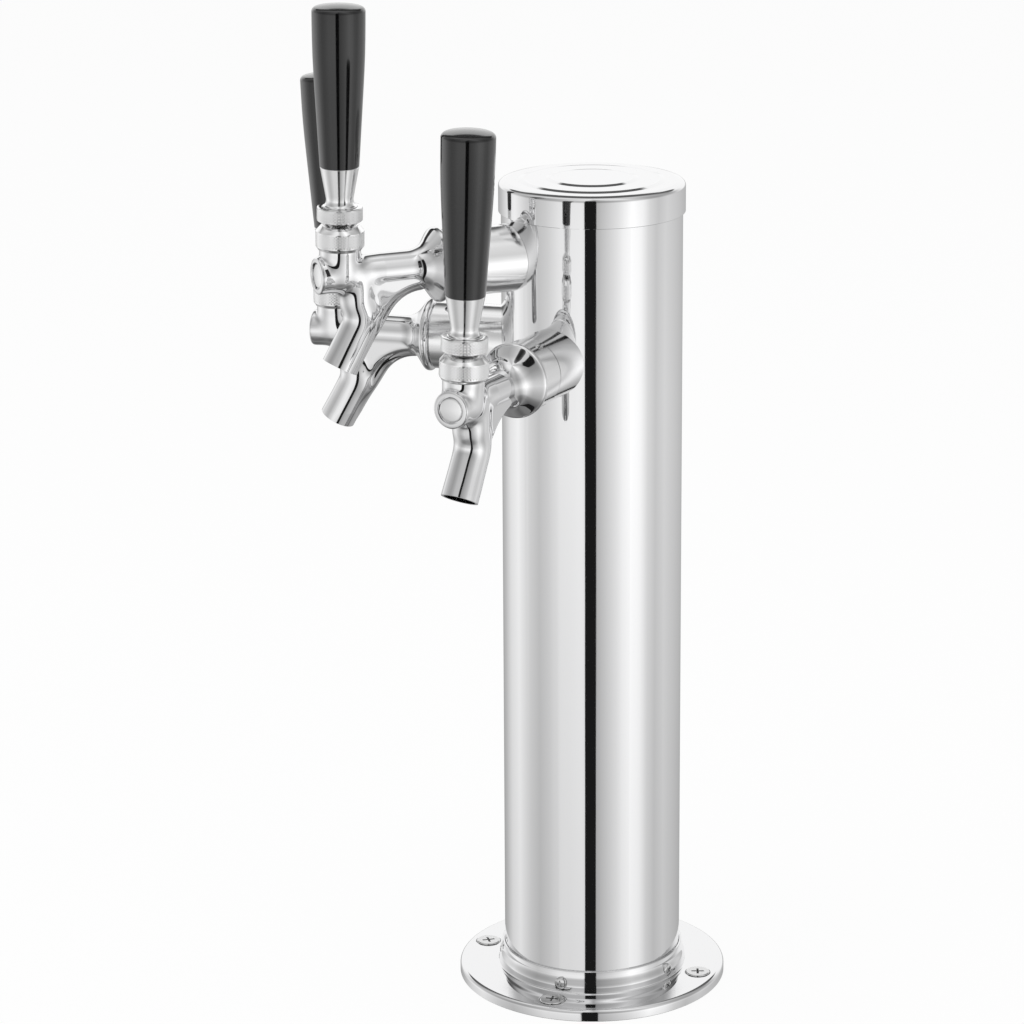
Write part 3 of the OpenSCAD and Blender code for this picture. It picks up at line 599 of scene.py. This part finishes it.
def knurl(bm, wall_radius, low, high, count):
    """Raises a diamond pattern on the wall of a turned ring between two heights."""
    pitch = 2 * pi * wall_radius / count
    for vert in bm.verts:
        radius = vert.co.to_2d().length / MM
        height = vert.co.z / MM
        on_wall = abs(radius - wall_radius) <= WALL_REACH
        if not on_wall or not low + END_REACH < height < high - END_REACH:
            continue
        around = atan2(vert.co.y, vert.co.x) / (2 * pi) * count
        along = (height - low) / pitch
        ridges = [abs(((around + sign * along) % 1) - 0.5) * 2 for sign in (1, -1)]
        rise = (min(ridges) - 0.5) * KNURL_DEPTH
        factor = 1 + rise / wall_radius
        vert.co.x *= factor
        vert.co.y *= factor


def build_lever_collar(side):
    """The knurled lock ring under the handle."""
    size = COLLAR
    radius, low, high = size["radius"], size["low"], size["high"]
    inner = radius - size["rim"]
    knurl_low = low + size["knurl_from"]
    chamfer_foot = high - size["chamfer"]
    wide_mouth, mouth = size["mouth"]
    outline = [
        (size["bore"], low + size["dish"]), (inner, low + size["dish"]), (inner, low + EASE),
        (inner + EASE, low), (radius - size["foot"], low), (radius, low + size["foot"]),
        *rows(radius, knurl_low + EASE, chamfer_foot - 0.25, size["row"]),
        (radius, chamfer_foot - EASE), (radius - EASE, high - EASE),
        (radius - size["chamfer"], high), (wide_mouth, high), (mouth, high - size["sunk"]),
        (size["bore"], high - size["sunk"]),
    ]
    bm = turned(outline, KNURL_STEPS, ring=True)
    knurl(bm, radius, knurl_low, chamfer_foot - 0.2, KNURL_COUNT)
    name = side + "_lever_collar"
    add_piece(name + "_knurled", bm, side + "_handle", "chrome_trim", [name], handle_frame(side))


def build_bonnet(side):
    """The knurled nut that holds the lever's ball in the neck."""
    size = BONNET
    radius, low, high, roof = size["radius"], size["low"], size["high"], size["roof"]
    band_low, band_high = size["band"]
    wide_mouth, mouth, throat = size["mouth"]
    wall = radius - size["wall_inset"]
    outline = [(size["bore"], low)]
    outline += [(radius - inset, low + rise) for inset, rise in BONNET_FOOT]
    outline.append((wall, band_low - EASE))
    outline += rows(wall, band_low, band_high, size["row"])
    outline += [(radius - inset, band_high + rise) for inset, rise in BONNET_SHOULDER]
    outline += [(radius - inset, high - drop) for inset, drop in BONNET_CROWN]
    outline += [(wide_mouth, high), (mouth, high - EASE), (throat, roof), (size["bore"], roof)]
    bm = turned(outline, KNURL_STEPS, ring=True)
    knurl(bm, wall, band_low, band_high, size["knurl_count"])
    name = side + "_bonnet"
    add_piece(name + "_knurled", bm, "tower", "chrome_trim", [name], TAPS[side] @ AT_STACK)


# Handle
FERRULE = {
    "low": 28.2, "high": 44.65, "foot": 7.1, "foot_wall": 0.35, "foot_height": 0.5, "waist": 5.55,
    "waist_height": 3.2, "top": 7.9, "top_ease": 0.15, "bore": 4.75, "roof": 2.65,
    "stud": 3.9, "stud_height": 15.35, "stud_ease": 0.15,
}
FERRULE_STEPS = 8
GRIP = {
    "low": 44.65, "high": 109.65, "radius": 10.8, "foot_ease": 0.2, "edge": 1.9, "edge_rise": 0.3,
    "edge_sweep": 74, "edge_steps": 9, "crown": 1.2, "crown_steps": 10, "bore": 3.95,
    "depth": 15.85, "steps": 200,
}
# Share of the grip's height, and share of its full radius there
GRIP_SHARES = (
    (0, 0.741), (0.1, 0.777), (0.2, 0.812), (0.3, 0.847), (0.4, 0.882), (0.5, 0.917), (0.6, 0.95),
    (0.7, 0.976), (0.8, 0.991), (0.9, 0.998),
)


def build_ferrule(side):
    """The bright ferrule: a waisted foot, a cone and the stud inside the grip."""
    size = FERRULE
    low, high, foot = size["low"], size["high"], size["foot"]
    waist, waist_height = size["waist"], size["waist_height"]
    lip = foot - EASE
    outline = [
        (0, high - size["roof"]), (size["bore"], high - size["roof"]), (size["bore"], low),
        (lip, low), (foot, low + EASE), (foot, low + size["foot_wall"]),
        (lip, low + size["foot_height"]),
    ]
    for i in range(1, FERRULE_STEPS + 1):
        turn = pi / 2 * i / FERRULE_STEPS
        outline.append((
            lip - (lip - waist) * sin(turn),
            low + waist_height - (waist_height - size["foot_height"]) * cos(turn)))
    for i in range(1, FERRULE_STEPS + 1):
        share = i / FERRULE_STEPS
        outline.append((
            waist + (size["top"] - waist) * share,
            low + waist_height + (high - size["top_ease"] - low - waist_height) * share))
    stud_top = high + size["stud_height"]
    outline += [
        (size["top"] - EASE, high), (size["stud"], high),
        (size["stud"], stud_top - size["stud_ease"]), (size["stud"] - size["stud_ease"], stud_top),
        (0, stud_top),
    ]
    name = side + "_ferrule"
    add_piece(
        name + "_turned", turned(outline), side + "_handle", "chrome_trim", [name],
        handle_frame(side))


def build_grip(side):
    """The black handle, which swells towards a rounded edge and a low crown."""
    size = GRIP
    low, high, radius, edge = size["low"], size["high"], size["radius"], size["edge"]
    roof, crown_top = low + size["depth"], high + size["crown"]
    foot = GRIP_SHARES[0][1] * radius
    outline = [(0, roof), (size["bore"], roof), (size["bore"], low)]
    outline += [(foot - size["foot_ease"], low), (foot, low + size["foot_ease"])]
    outline += [(share * radius, low + up * (high - low)) for up, share in GRIP_SHARES[1:]]
    outline += arc(
        (radius - edge, high - edge + size["edge_rise"]), edge, 0, size["edge_sweep"],
        size["edge_steps"])
    rim_radius, rim_height = outline[-1]
    for i in range(1, size["crown_steps"] + 1):
        share = 1 - i / size["crown_steps"]
        outline.append((rim_radius * share, crown_top - (crown_top - rim_height) * share ** 2))
    name = side + "_grip"
    add_piece(
        name + "_moulded", turned(outline, size["steps"]), side + "_handle", "black_grip", [name],
        handle_frame(side), crease=40)


# Faucet body: the bell's rim, its flare into the tube, the neck, the boss, the spout and the web
TUBE_R = 7.1
NECK = {"radius": 8.5, "root": -3.0, "end": 14.0, "top": 10.5}
BOSS = {"radius": 7.7, "face": 122.9, "root": STACK_X - 8, "ease": 0.6}
RIM = {"x": 70.2, "radius": 15.7, "round": 1.9, "rear": 68.3, "overlap": 1.5, "inset": 1.0}
FLARE = {"x": 82.8, "radius": 10.5, "slope": 55}
# The spout hangs from the end of its bend, and its own frame leans by its tilt
SPOUT = {
    "x": 112.8, "z": -18.5, "bend": 9.6, "radius": 7.65, "bore": 6.5, "tilt": 27.8, "run": 18.45,
    "sweep": 77.8,
}
# Rounded corner over the spout's bend
KNEE = {"x": 105.3, "z": -12.0}
# The web's hollow rear edge is an arc about x and z that runs on straight down the spout
WEB = {
    "x": 76.8, "z": -26.6, "line": 19.9, "half": 3.4, "tilt": 31.8, "run": 32.0, "root_half": 6.7,
    "low_half": 4.5, "edge_half": 3.0, "edge_share": 0.16, "taper": 28.0, "tail": 21.0,
    "from": -6, "step": 4, "grid": (56, 12),
}
# Line inside the tube and the spout that the web reaches, as points of x and z
WEB_SPINE = (
    (76.0, 0.0), (90.0, 0.0), (100.0, -1.0), (104.5, -6.0), (104.0, -12.0), (103.4, -18.5),
    (104.6, -24.0),
)
VOXEL = 0.4
BODY_STEPS = 96
BORE_STEPS = 64
WAY_STEPS = 48
SPOUT_BORE_STEPS = 80
BALL_ROWS = 48
BEND_STEPS = 28
# How far a form runs past the surface that it ends in or cuts through
PAST = 2
SPOUT_PAST = 3
# Blocks that cut the casting's ends flat: behind the bell, over the neck and under the spout
REAR_BLOCK = Vector((40, 60, 60)) * MM
NECK_BLOCK = Vector((30, 40, 20)) * MM
SPOUT_BLOCK = Vector((80, 60, 40)) * MM

# Bores of the body, and the counterbore that the plug sits in
REAR_BORE = {"radius": 7.5, "end": 70.0}
SHAFT_BORE = {"radius": 4.5, "start": 69.0}
FRONT_BORE = {"radius": 4.6, "lap": 1.0}
PLUG_SEAT = {"radius": 5.65, "depth": 1.6}
BALL_BORE = {"radius": 6.6, "low": -4.6, "high": 9.5}
NECK_BORE = {"radius": 7.2, "low": 9.0}
SPOUT_WAY = {"x": 106.6, "radius": 3.8, "low": -11.1, "high": -2.0}
# Threaded ends, each a ring of (radius, distance) points: behind the bell and on the neck
THREADS = (
    ([(7.5, 61.6), (12.9, 61.6), (13.3, 62.0), (13.3, 68.5), (7.5, 68.5)], ON_X),
    ([(7.2, 10.2), (8.2, 10.2), (8.2, 16.8), (8.0, 17.0), (7.2, 17.0)], AT_STACK),
)

# Smoothing: a light pass all over, and many more where the forms meet round the spout's bend
OVERALL_ROUNDS = 14
JUNCTION_ROUNDS = 210
LEAST_WEIGHT = 0.01
# The junctions' weight starts, is full, fades and ends at these places along the tap and in height
MELT_X = (95, 101, 117, 121)
MELT_Z = (-36, -28, 6.5, 9.5)


def bell_outline():
    """Rim, flare and tube as (radius, distance along the tap)."""
    rim_centre = (RIM["radius"] - RIM["round"], RIM["x"])
    start = RIM["rear"] - RIM["overlap"]
    outline = [(0, start), (rim_centre[0] - RIM["inset"], start)]
    outline += arc(rim_centre, RIM["round"], -90, FLARE["slope"], 14)
    centre = (TUBE_R + FLARE["radius"], FLARE["x"])
    outline += arc(centre, FLARE["radius"], 180 + FLARE["slope"], 180, 18)
    outline += [(TUBE_R, STACK_X), (0, STACK_X)]
    return outline


def solid_rod(radius, low, high, place, steps=BODY_STEPS):
    return moved(turned([(0, low), (radius, low), (radius, high), (0, high)], steps), place)


def ball(radius, place):
    bm = bmesh.new()
    bmesh.ops.create_uvsphere(
        bm, u_segments=BODY_STEPS, v_segments=BALL_ROWS, radius=radius * MM, matrix=place)
    return bm


def bent_tube(radius, bend, sweep, run, place, steps=BODY_STEPS):
    """A rod that hangs straight down from the start of a bend and follows the bend up."""
    bm = bmesh.new()
    ring = bmesh.ops.create_circle(
        bm, segments=steps, radius=radius * MM, matrix=shifted(-bend))["verts"]
    edges = bm.edges[:]
    bmesh.ops.spin(
        bm, geom=ring + edges, axis=(0, 1, 0), cent=(0, 0, 0), angle=radians(sweep),
        steps=BEND_STEPS)
    tail = bmesh.ops.extrude_edge_only(bm, edges=edges)["geom"]
    tail_verts = [part for part in tail if isinstance(part, bmesh.types.BMVert)]
    bmesh.ops.translate(bm, vec=(0, 0, -run * MM), verts=tail_verts)
    bmesh.ops.holes_fill(bm, edges=[edge for edge in bm.edges if edge.is_boundary], sides=0)
    bmesh.ops.recalc_face_normals(bm, faces=bm.faces[:])
    return moved(bm, place)


def tilted(part):
    """The frame at a bend of the casting, turned by its tilt."""
    return shifted(part["x"], part["z"]) @ Matrix.Rotation(radians(-part["tilt"]), 4, "Y")


def spout_tube(radius, past, steps=BODY_STEPS):
    """The spout's form at a radius, which runs past its mouth."""
    run = SPOUT["run"] + past
    return bent_tube(radius, SPOUT["bend"], SPOUT["sweep"], run, tilted(SPOUT), steps)


def point_along(points, share):
    """The point at a share of a polyline's length."""
    lengths = [(Vector(b) - Vector(a)).length for a, b in zip(points, points[1:])]
    left = share * sum(lengths)
    for a, b, length in zip(points, points[1:], lengths):
        if left <= length:
            return Vector(a).lerp(Vector(b), left / length)
        left -= length
    return Vector(points[-1])


def web_edge():
    """The web's rear edge: round the hollow and on down the back of the spout."""
    tilt = radians(WEB["tilt"])
    angles = [radians(a) for a in range(WEB["from"], int(90 - WEB["tilt"]) + 1, WEB["step"])]
    edge = [(WEB["x"] + WEB["line"] * sin(a), WEB["z"] + WEB["line"] * cos(a)) for a in angles]
    end = Vector((WEB["x"] + WEB["line"] * cos(tilt), WEB["z"] + WEB["line"] * sin(tilt)))
    return [*edge, tuple(end), tuple(end + WEB["run"] * Vector((sin(tilt), -cos(tilt))))]


def web_half(height, across):
    """Half the web's thickness at a height and at a share of the way in from its rear edge."""
    taper = min(1.0, max(0.0, -height / WEB["taper"]))
    full = WEB["root_half"] - (WEB["root_half"] - WEB["low_half"]) * taper
    rounding = sqrt(1 - (1 - min(1.0, across / WEB["edge_share"])) ** 2)
    return (WEB["edge_half"] + (full - WEB["edge_half"]) * rounding) * MM


def web_slab():
    """The web: thin along its hollow rear edge and thick where it meets the tube and the spout."""
    edge = web_edge()
    lean = radians(SPOUT["tilt"])
    tail = Vector(WEB_SPINE[-1]) + WEB["tail"] * Vector((sin(lean), -cos(lean)))
    spine = [*WEB_SPINE, tuple(tail)]
    along, across = WEB["grid"]
    bm = bmesh.new()
    bmesh.ops.create_grid(bm, x_segments=along, y_segments=across, size=1.0)
    near = bm.verts[:]
    depths = []
    for vert in near:
        share, inward = (vert.co.x + 1) / 2, (vert.co.y + 1) / 2
        point = point_along(edge, share).lerp(point_along(spine, share), inward)
        vert.co = (point.x * MM, 0, point.y * MM)
        depths.append(web_half(point.y, inward))
    far = bmesh.ops.extrude_face_region(bm, geom=bm.faces[:])["geom"]
    twins = {place_key(part): part for part in far if isinstance(part, bmesh.types.BMVert)}
    for vert, depth in zip(near, depths):
        twin = twins[place_key(vert)]
        vert.co.y = -depth
        twin.co.y = depth
    bmesh.ops.recalc_face_normals(bm, faces=bm.faces[:])
    return bm


def place_key(vert):
    return tuple(round(part, 9) for part in vert.co)


def body_skin():
    """Everything cast in one: the closed forms that the smoothing melts together."""
    radius, face, root, ease = BOSS["radius"], BOSS["face"], BOSS["root"], BOSS["ease"]
    edge = arc((radius - ease, face - ease), ease, 0, 90, 4)
    boss = [(0, root), (radius, root), *edge, (0, face)]
    web_frame = tilted(WEB) @ Matrix.Rotation(pi, 4, "Z")
    return [
        moved(turned(bell_outline(), BODY_STEPS), ON_X),
        solid_rod(NECK["radius"], NECK["root"], NECK["end"], AT_STACK),
        ball(NECK["radius"], AT_STACK),
        moved(turned(boss, BODY_STEPS), ON_X),
        spout_tube(SPOUT["radius"], SPOUT_PAST),
        ball(SPOUT["radius"], shifted(KNEE["x"], KNEE["z"])),
        solid_rod(SPOUT["radius"], KNEE["z"], 0.0, shifted(KNEE["x"])),
        web_slab(),
        bent_tube(
            WEB["half"], WEB["line"], 90 - WEB["tilt"], WEB["run"] + PAST, web_frame, WAY_STEPS),
    ]


def body_cutters():
    """What is machined out of the casting: its flat ends first, then its bores."""
    rear, face = RIM["rear"], BOSS["face"]
    return [
        block(REAR_BLOCK, shifted(rear - 20)),
        block(NECK_BLOCK, shifted(STACK_X, NECK["top"] + 10)),
        block(SPOUT_BLOCK, tilted(SPOUT) @ shifted(0, -SPOUT["run"] - 20)),
        solid_rod(REAR_BORE["radius"], rear - PAST, REAR_BORE["end"], ON_X),
        solid_rod(SHAFT_BORE["radius"], SHAFT_BORE["start"], STACK_X, ON_X, BORE_STEPS),
        solid_rod(PLUG_SEAT["radius"], face - PLUG_SEAT["depth"], face + PAST, ON_X),
        solid_rod(FRONT_BORE["radius"], STACK_X - 1, face - FRONT_BORE["lap"], ON_X, BORE_STEPS),
        solid_rod(BALL_BORE["radius"], BALL_BORE["low"], BALL_BORE["high"], AT_STACK, BORE_STEPS),
        solid_rod(NECK_BORE["radius"], NECK_BORE["low"], NECK["end"], AT_STACK, BORE_STEPS),
        spout_tube(SPOUT["bore"], PAST, SPOUT_BORE_STEPS),
        solid_rod(
            SPOUT_WAY["radius"], SPOUT_WAY["low"], SPOUT_WAY["high"], shifted(SPOUT_WAY["x"]),
            WAY_STEPS),
    ]


def ramp_up(value, low, high):
    return min(1.0, max(0.0, (value - low) / (high - low)))


def plateau(value, start, full, fade, end):
    """1 from full to fade, and 0 before start and after end."""
    return ramp_up(value, start, full) * ramp_up(-value, -end, -fade)


def smooth(piece, group, rounds):
    pass_over = piece.modifiers.new(group, "SMOOTH")
    pass_over.factor = 0.5
    pass_over.iterations = rounds
    pass_over.vertex_group = group


def cast_body():
    """The finished body in the tap's own frame."""
    raw = joined("raw_body", body_skin())
    remesh = raw.modifiers.new("voxels", "REMESH")
    remesh.mode = "VOXEL"
    remesh.voxel_size = VOXEL * MM
    mesh = settle(raw)
    body = bpy.data.objects.new("cast_body", mesh)
    bpy.context.scene.collection.objects.link(body)
    whole = body.vertex_groups.new(name="all_over")
    whole.add(list(range(len(mesh.vertices))), 1.0, "REPLACE")
    junctions = body.vertex_groups.new(name="junctions")
    for vert in mesh.vertices:
        weight = plateau(vert.co.x / MM, *MELT_X) * plateau(vert.co.z / MM, *MELT_Z)
        if weight > LEAST_WEIGHT:
            junctions.add([vert.index], weight, "REPLACE")
    smooth(body, "all_over", OVERALL_ROUNDS)
    smooth(body, "junctions", JUNCTION_ROUNDS)
    return cut_out(body, body_cutters())


def build_faucet_bodies():
    """One casting with its threaded ends, set at each tap."""
    bm = opened(cast_body())
    for outline, place in THREADS:
        take_in(bm, moved(turned(outline, RING_STEPS, ring=True), place))
    for side in SIDES:
        name = side + "_faucet_body"
        add_piece(
            name + "_cast", bm.copy(), "tower", "chrome_body", [name], TAPS[side], crease=38)
    bm.free()


# Plug in the front of the bore, sunk a little under the boss's face
PLUG = {"radius": 5.1, "sunk": 0.42, "dome_radius": 4.7, "dome_foot": 0.06, "dome": 0.3}
PLUG_EDGE = ((5.1, 0.5), (4.95, 0.22), (4.7, 0.06))
DOME_STEPS = 8


def build_boss_plug(side):
    back = BOSS["face"] - PLUG_SEAT["depth"]
    face = BOSS["face"] - PLUG["sunk"]
    outline = [(0, back), (PLUG["radius"], back)]
    outline += [(radius, face - depth) for radius, depth in PLUG_EDGE]
    for i in range(1, DOME_STEPS + 1):
        share = 1 - i / DOME_STEPS
        height = face - PLUG["dome_foot"] + PLUG["dome"] * (1 - share ** 2)
        outline.append((PLUG["dome_radius"] * share, height))
    name = side + "_boss_plug"
    add_piece(
        name + "_domed", turned(outline, RING_STEPS), "tower", "chrome_trim", [name],
        TAPS[side] @ ON_X)


# Foot: a flange with a rounded edge, and a collar that draws in to a lip round the column
FLANGE = {
    "way": 35, "way_ease": 0.15, "radius": 57.75, "foot_ease": 0.25, "top": 4.9, "round": 1.75,
    "seat": 38.15, "seat_height": 2,
}
COLLAR_WALL = {"radius": 40.6, "fillet": 0.8, "height": 7.4, "rise": 4.6, "draw_in": 1.45}
COLLAR_WALL_STEPS = 12
COLLAR_LIP = {"centre": (38.62, 13.95), "round": 0.47, "from": 10, "to": 175}
SCREW_CIRCLE = 49.0035
MOUNTING_ANGLES = (45, 135, 225, 315)
COLLAR_ANGLES = (-44, 30, 136, 210)
COLLAR_SCREW_HEIGHT = 8.9
MOUNTING_STEPS = 64
SCREW_STEPS = 96
# Ways for the screws, as outlines about the screw's own axis
MOUNTING_WAY = ((0, -1), (2.35, -1), (2.35, 1.9), (5.6, 4.6), (5.75, 7), (0, 7))
COLLAR_WAY = ((0, 36), (1.55, 36), (1.55, 39.3), (2.75, 39.3), (2.75, 43), (0, 43))
# Screws: how far each cross is turned, then half its length, its width, its depth and its top
MOUNTING_TURNS = (20, 62, 35, 8)
MOUNTING_CROSS = (2.7, 0.95, 1.3, 5.47)
MOUNTING_SHANK = (
    (0, -20), (2.1, -20), (2.1, 0), (1.89, 0), (1.89, 1.8), (5.1, 4.85), (5.2, 5.0),
)
MOUNTING_HEAD = {"edge_at": (4.75, 5.02), "edge": 0.45, "flat": 4.6, "top": 5.47}
COLLAR_TURNS = (15, 40, 70, 5)
COLLAR_CROSS = (1.5, 0.6, 0.9, 40.95)
COLLAR_SHANK = ((0, 34.1), (1.5, 34.1), (1.5, 39.3), (2.6, 39.3), (2.6, 40.2))
COLLAR_HEAD = {"radius": 2.6, "foot": 40.3, "crown": 0.65}


def spun(angle):
    return Matrix.Rotation(radians(angle), 4, "Z")


def mounting_places():
    return [spun(angle) @ shifted(SCREW_CIRCLE) for angle in MOUNTING_ANGLES]


def collar_places():
    return [spun(angle) @ shifted(0, COLLAR_SCREW_HEIGHT) @ ON_X for angle in COLLAR_ANGLES]


def build_base_flange():
    way, radius, top, edge = FLANGE["way"], FLANGE["radius"], FLANGE["top"], FLANGE["round"]
    wall, fillet = COLLAR_WALL["radius"], COLLAR_WALL["fillet"]
    way_ease, foot_ease = FLANGE["way_ease"], FLANGE["foot_ease"]
    outline = [(way, way_ease), (way + way_ease, 0), (radius - foot_ease, 0), (radius, foot_ease)]
    outline += arc((radius - edge, top - edge), edge, 0, 90, 10)
    outline += arc((wall + fillet, top + fillet), fillet, 270, 180, 6)
    for i in range(COLLAR_WALL_STEPS + 1):
        share = i / COLLAR_WALL_STEPS
        eased = share * share * (3 - 2 * share)
        outline.append((
            wall - COLLAR_WALL["draw_in"] * eased,
            COLLAR_WALL["height"] + COLLAR_WALL["rise"] * share))
    lip = COLLAR_LIP
    outline += arc(lip["centre"], lip["round"], lip["from"], lip["to"], 8)
    outline += [(FLANGE["seat"], FLANGE["seat_height"]), (way, FLANGE["seat_height"])]
    cutters = [moved(turned(MOUNTING_WAY, MOUNTING_STEPS), place) for place in mounting_places()]
    cutters += [moved(turned(COLLAR_WAY, WAY_STEPS), place) for place in collar_places()]
    flange = joined("flange", [turned(outline, ALL_ROUND_STEPS, ring=True)])
    add_piece(
        "base_flange_polished", opened(cut_out(flange, cutters)), "tower", "polished_steel",
        ["base_flange"])


def cross(half_length, width, depth, top):
    """Two crossed bars that cut a driver's recess."""
    size = (2 * half_length * MM, width * MM, 2 * depth * MM)
    return [block(size, shifted(0, top) @ spun(angle)) for angle in (0, 90)]


def build_screws(name, outline, recess, places, turns):
    """One screw with a cross recess, set at each of its places."""
    blank = joined("screw", [turned(outline, SCREW_STEPS)])
    screw = opened(cut_out(blank, cross(*recess)))
    screws = bmesh.new()
    for place, turn in zip(places, turns):
        take_in(screws, moved(screw.copy(), place @ spun(turn)))
    screw.free()
    add_piece(name + "_turned", screws, "tower", "screw_steel", [name])


def build_mounting_screws():
    head = MOUNTING_HEAD
    outline = [
        *MOUNTING_SHANK, *arc(head["edge_at"], head["edge"], 0, 90, 6),
        (head["flat"], head["top"]), (0, head["top"]),
    ]
    build_screws(
        "mounting_screws", outline, MOUNTING_CROSS, mounting_places(), MOUNTING_TURNS)


def build_collar_screws():
    head = COLLAR_HEAD
    crown = [
        (head["radius"] * cos(radians(a)), head["foot"] + head["crown"] * sin(radians(a)))
        for a in range(9, 91, 9)
    ]
    build_screws(
        "collar_screws", [*COLLAR_SHANK, *crown], COLLAR_CROSS, collar_places(), COLLAR_TURNS)


# Cap: outlines as (radius, height over the cap's rim), from the middle of the underside outwards
CAP_TOP = 353.0
CAP_UNDERSIDE = (
    (0, -0.25), (17.6, -0.25), (18.4, -0.65), (29.0, -0.65), (29.8, -1.05), (38.15, -1.05),
    (38.15, -13), (38.25, -13.15), (39.1, -13.15), (39.2, -13.0),
)
CAP_EDGE = {"centre": (37.2, -2.37), "round": 2.0, "sweep": 77}
CAP_RIM = ((35.9, -0.03), (35.6, 0), (35.3, 0))
# Each stamped ring: its radius and the height it starts at, then the outline of its slope,
# whose rows are close so that the slope keeps its own shading
STAMPED_RINGS = ((29.6, 0), (18.3, 0.43))
STAMPED_SLOPE = (
    (1.6, 0), (1.4, 0), (1.2, 0.02),
    *((1.2 - 0.2 * i, 0.02 + 0.048 * i) for i in range(1, 12)),
    (-1.2, 0.54), (-1.4, 0.51), (-1.6, 0.47), (-1.8, 0.44), (-2.0, 0.43), (-2.2, 0.43),
)
CAP_CROWN = 0.86


def build_column_cap():
    edge_x, edge_height = CAP_EDGE["centre"]
    outline = [(radius, CAP_TOP + height) for radius, height in CAP_UNDERSIDE]
    outline += arc((edge_x, CAP_TOP + edge_height), CAP_EDGE["round"], 0, CAP_EDGE["sweep"], 12)
    outline += [(radius, CAP_TOP + height) for radius, height in CAP_RIM]
    for ring_radius, start in STAMPED_RINGS:
        outline += [(ring_radius + out, CAP_TOP + start + rise) for out, rise in STAMPED_SLOPE]
    outline.append((0, CAP_TOP + CAP_CROWN))
    add_piece(
        "column_cap_pressed", turned(outline, ALL_ROUND_STEPS), "cap", "polished_steel",
        ["column_cap"])


light_studio()
lay_floor()
hang_lamps()
dress_cad_nodes()
build_base_flange()
build_mounting_screws()
build_collar_screws()
build_column_cap()
build_faucet_bodies()
for tap_side in SIDES:
    build_lever_collar(tap_side)
    build_bonnet(tap_side)
    build_ferrule(tap_side)
    build_grip(tap_side)
    build_boss_plug(tap_side)
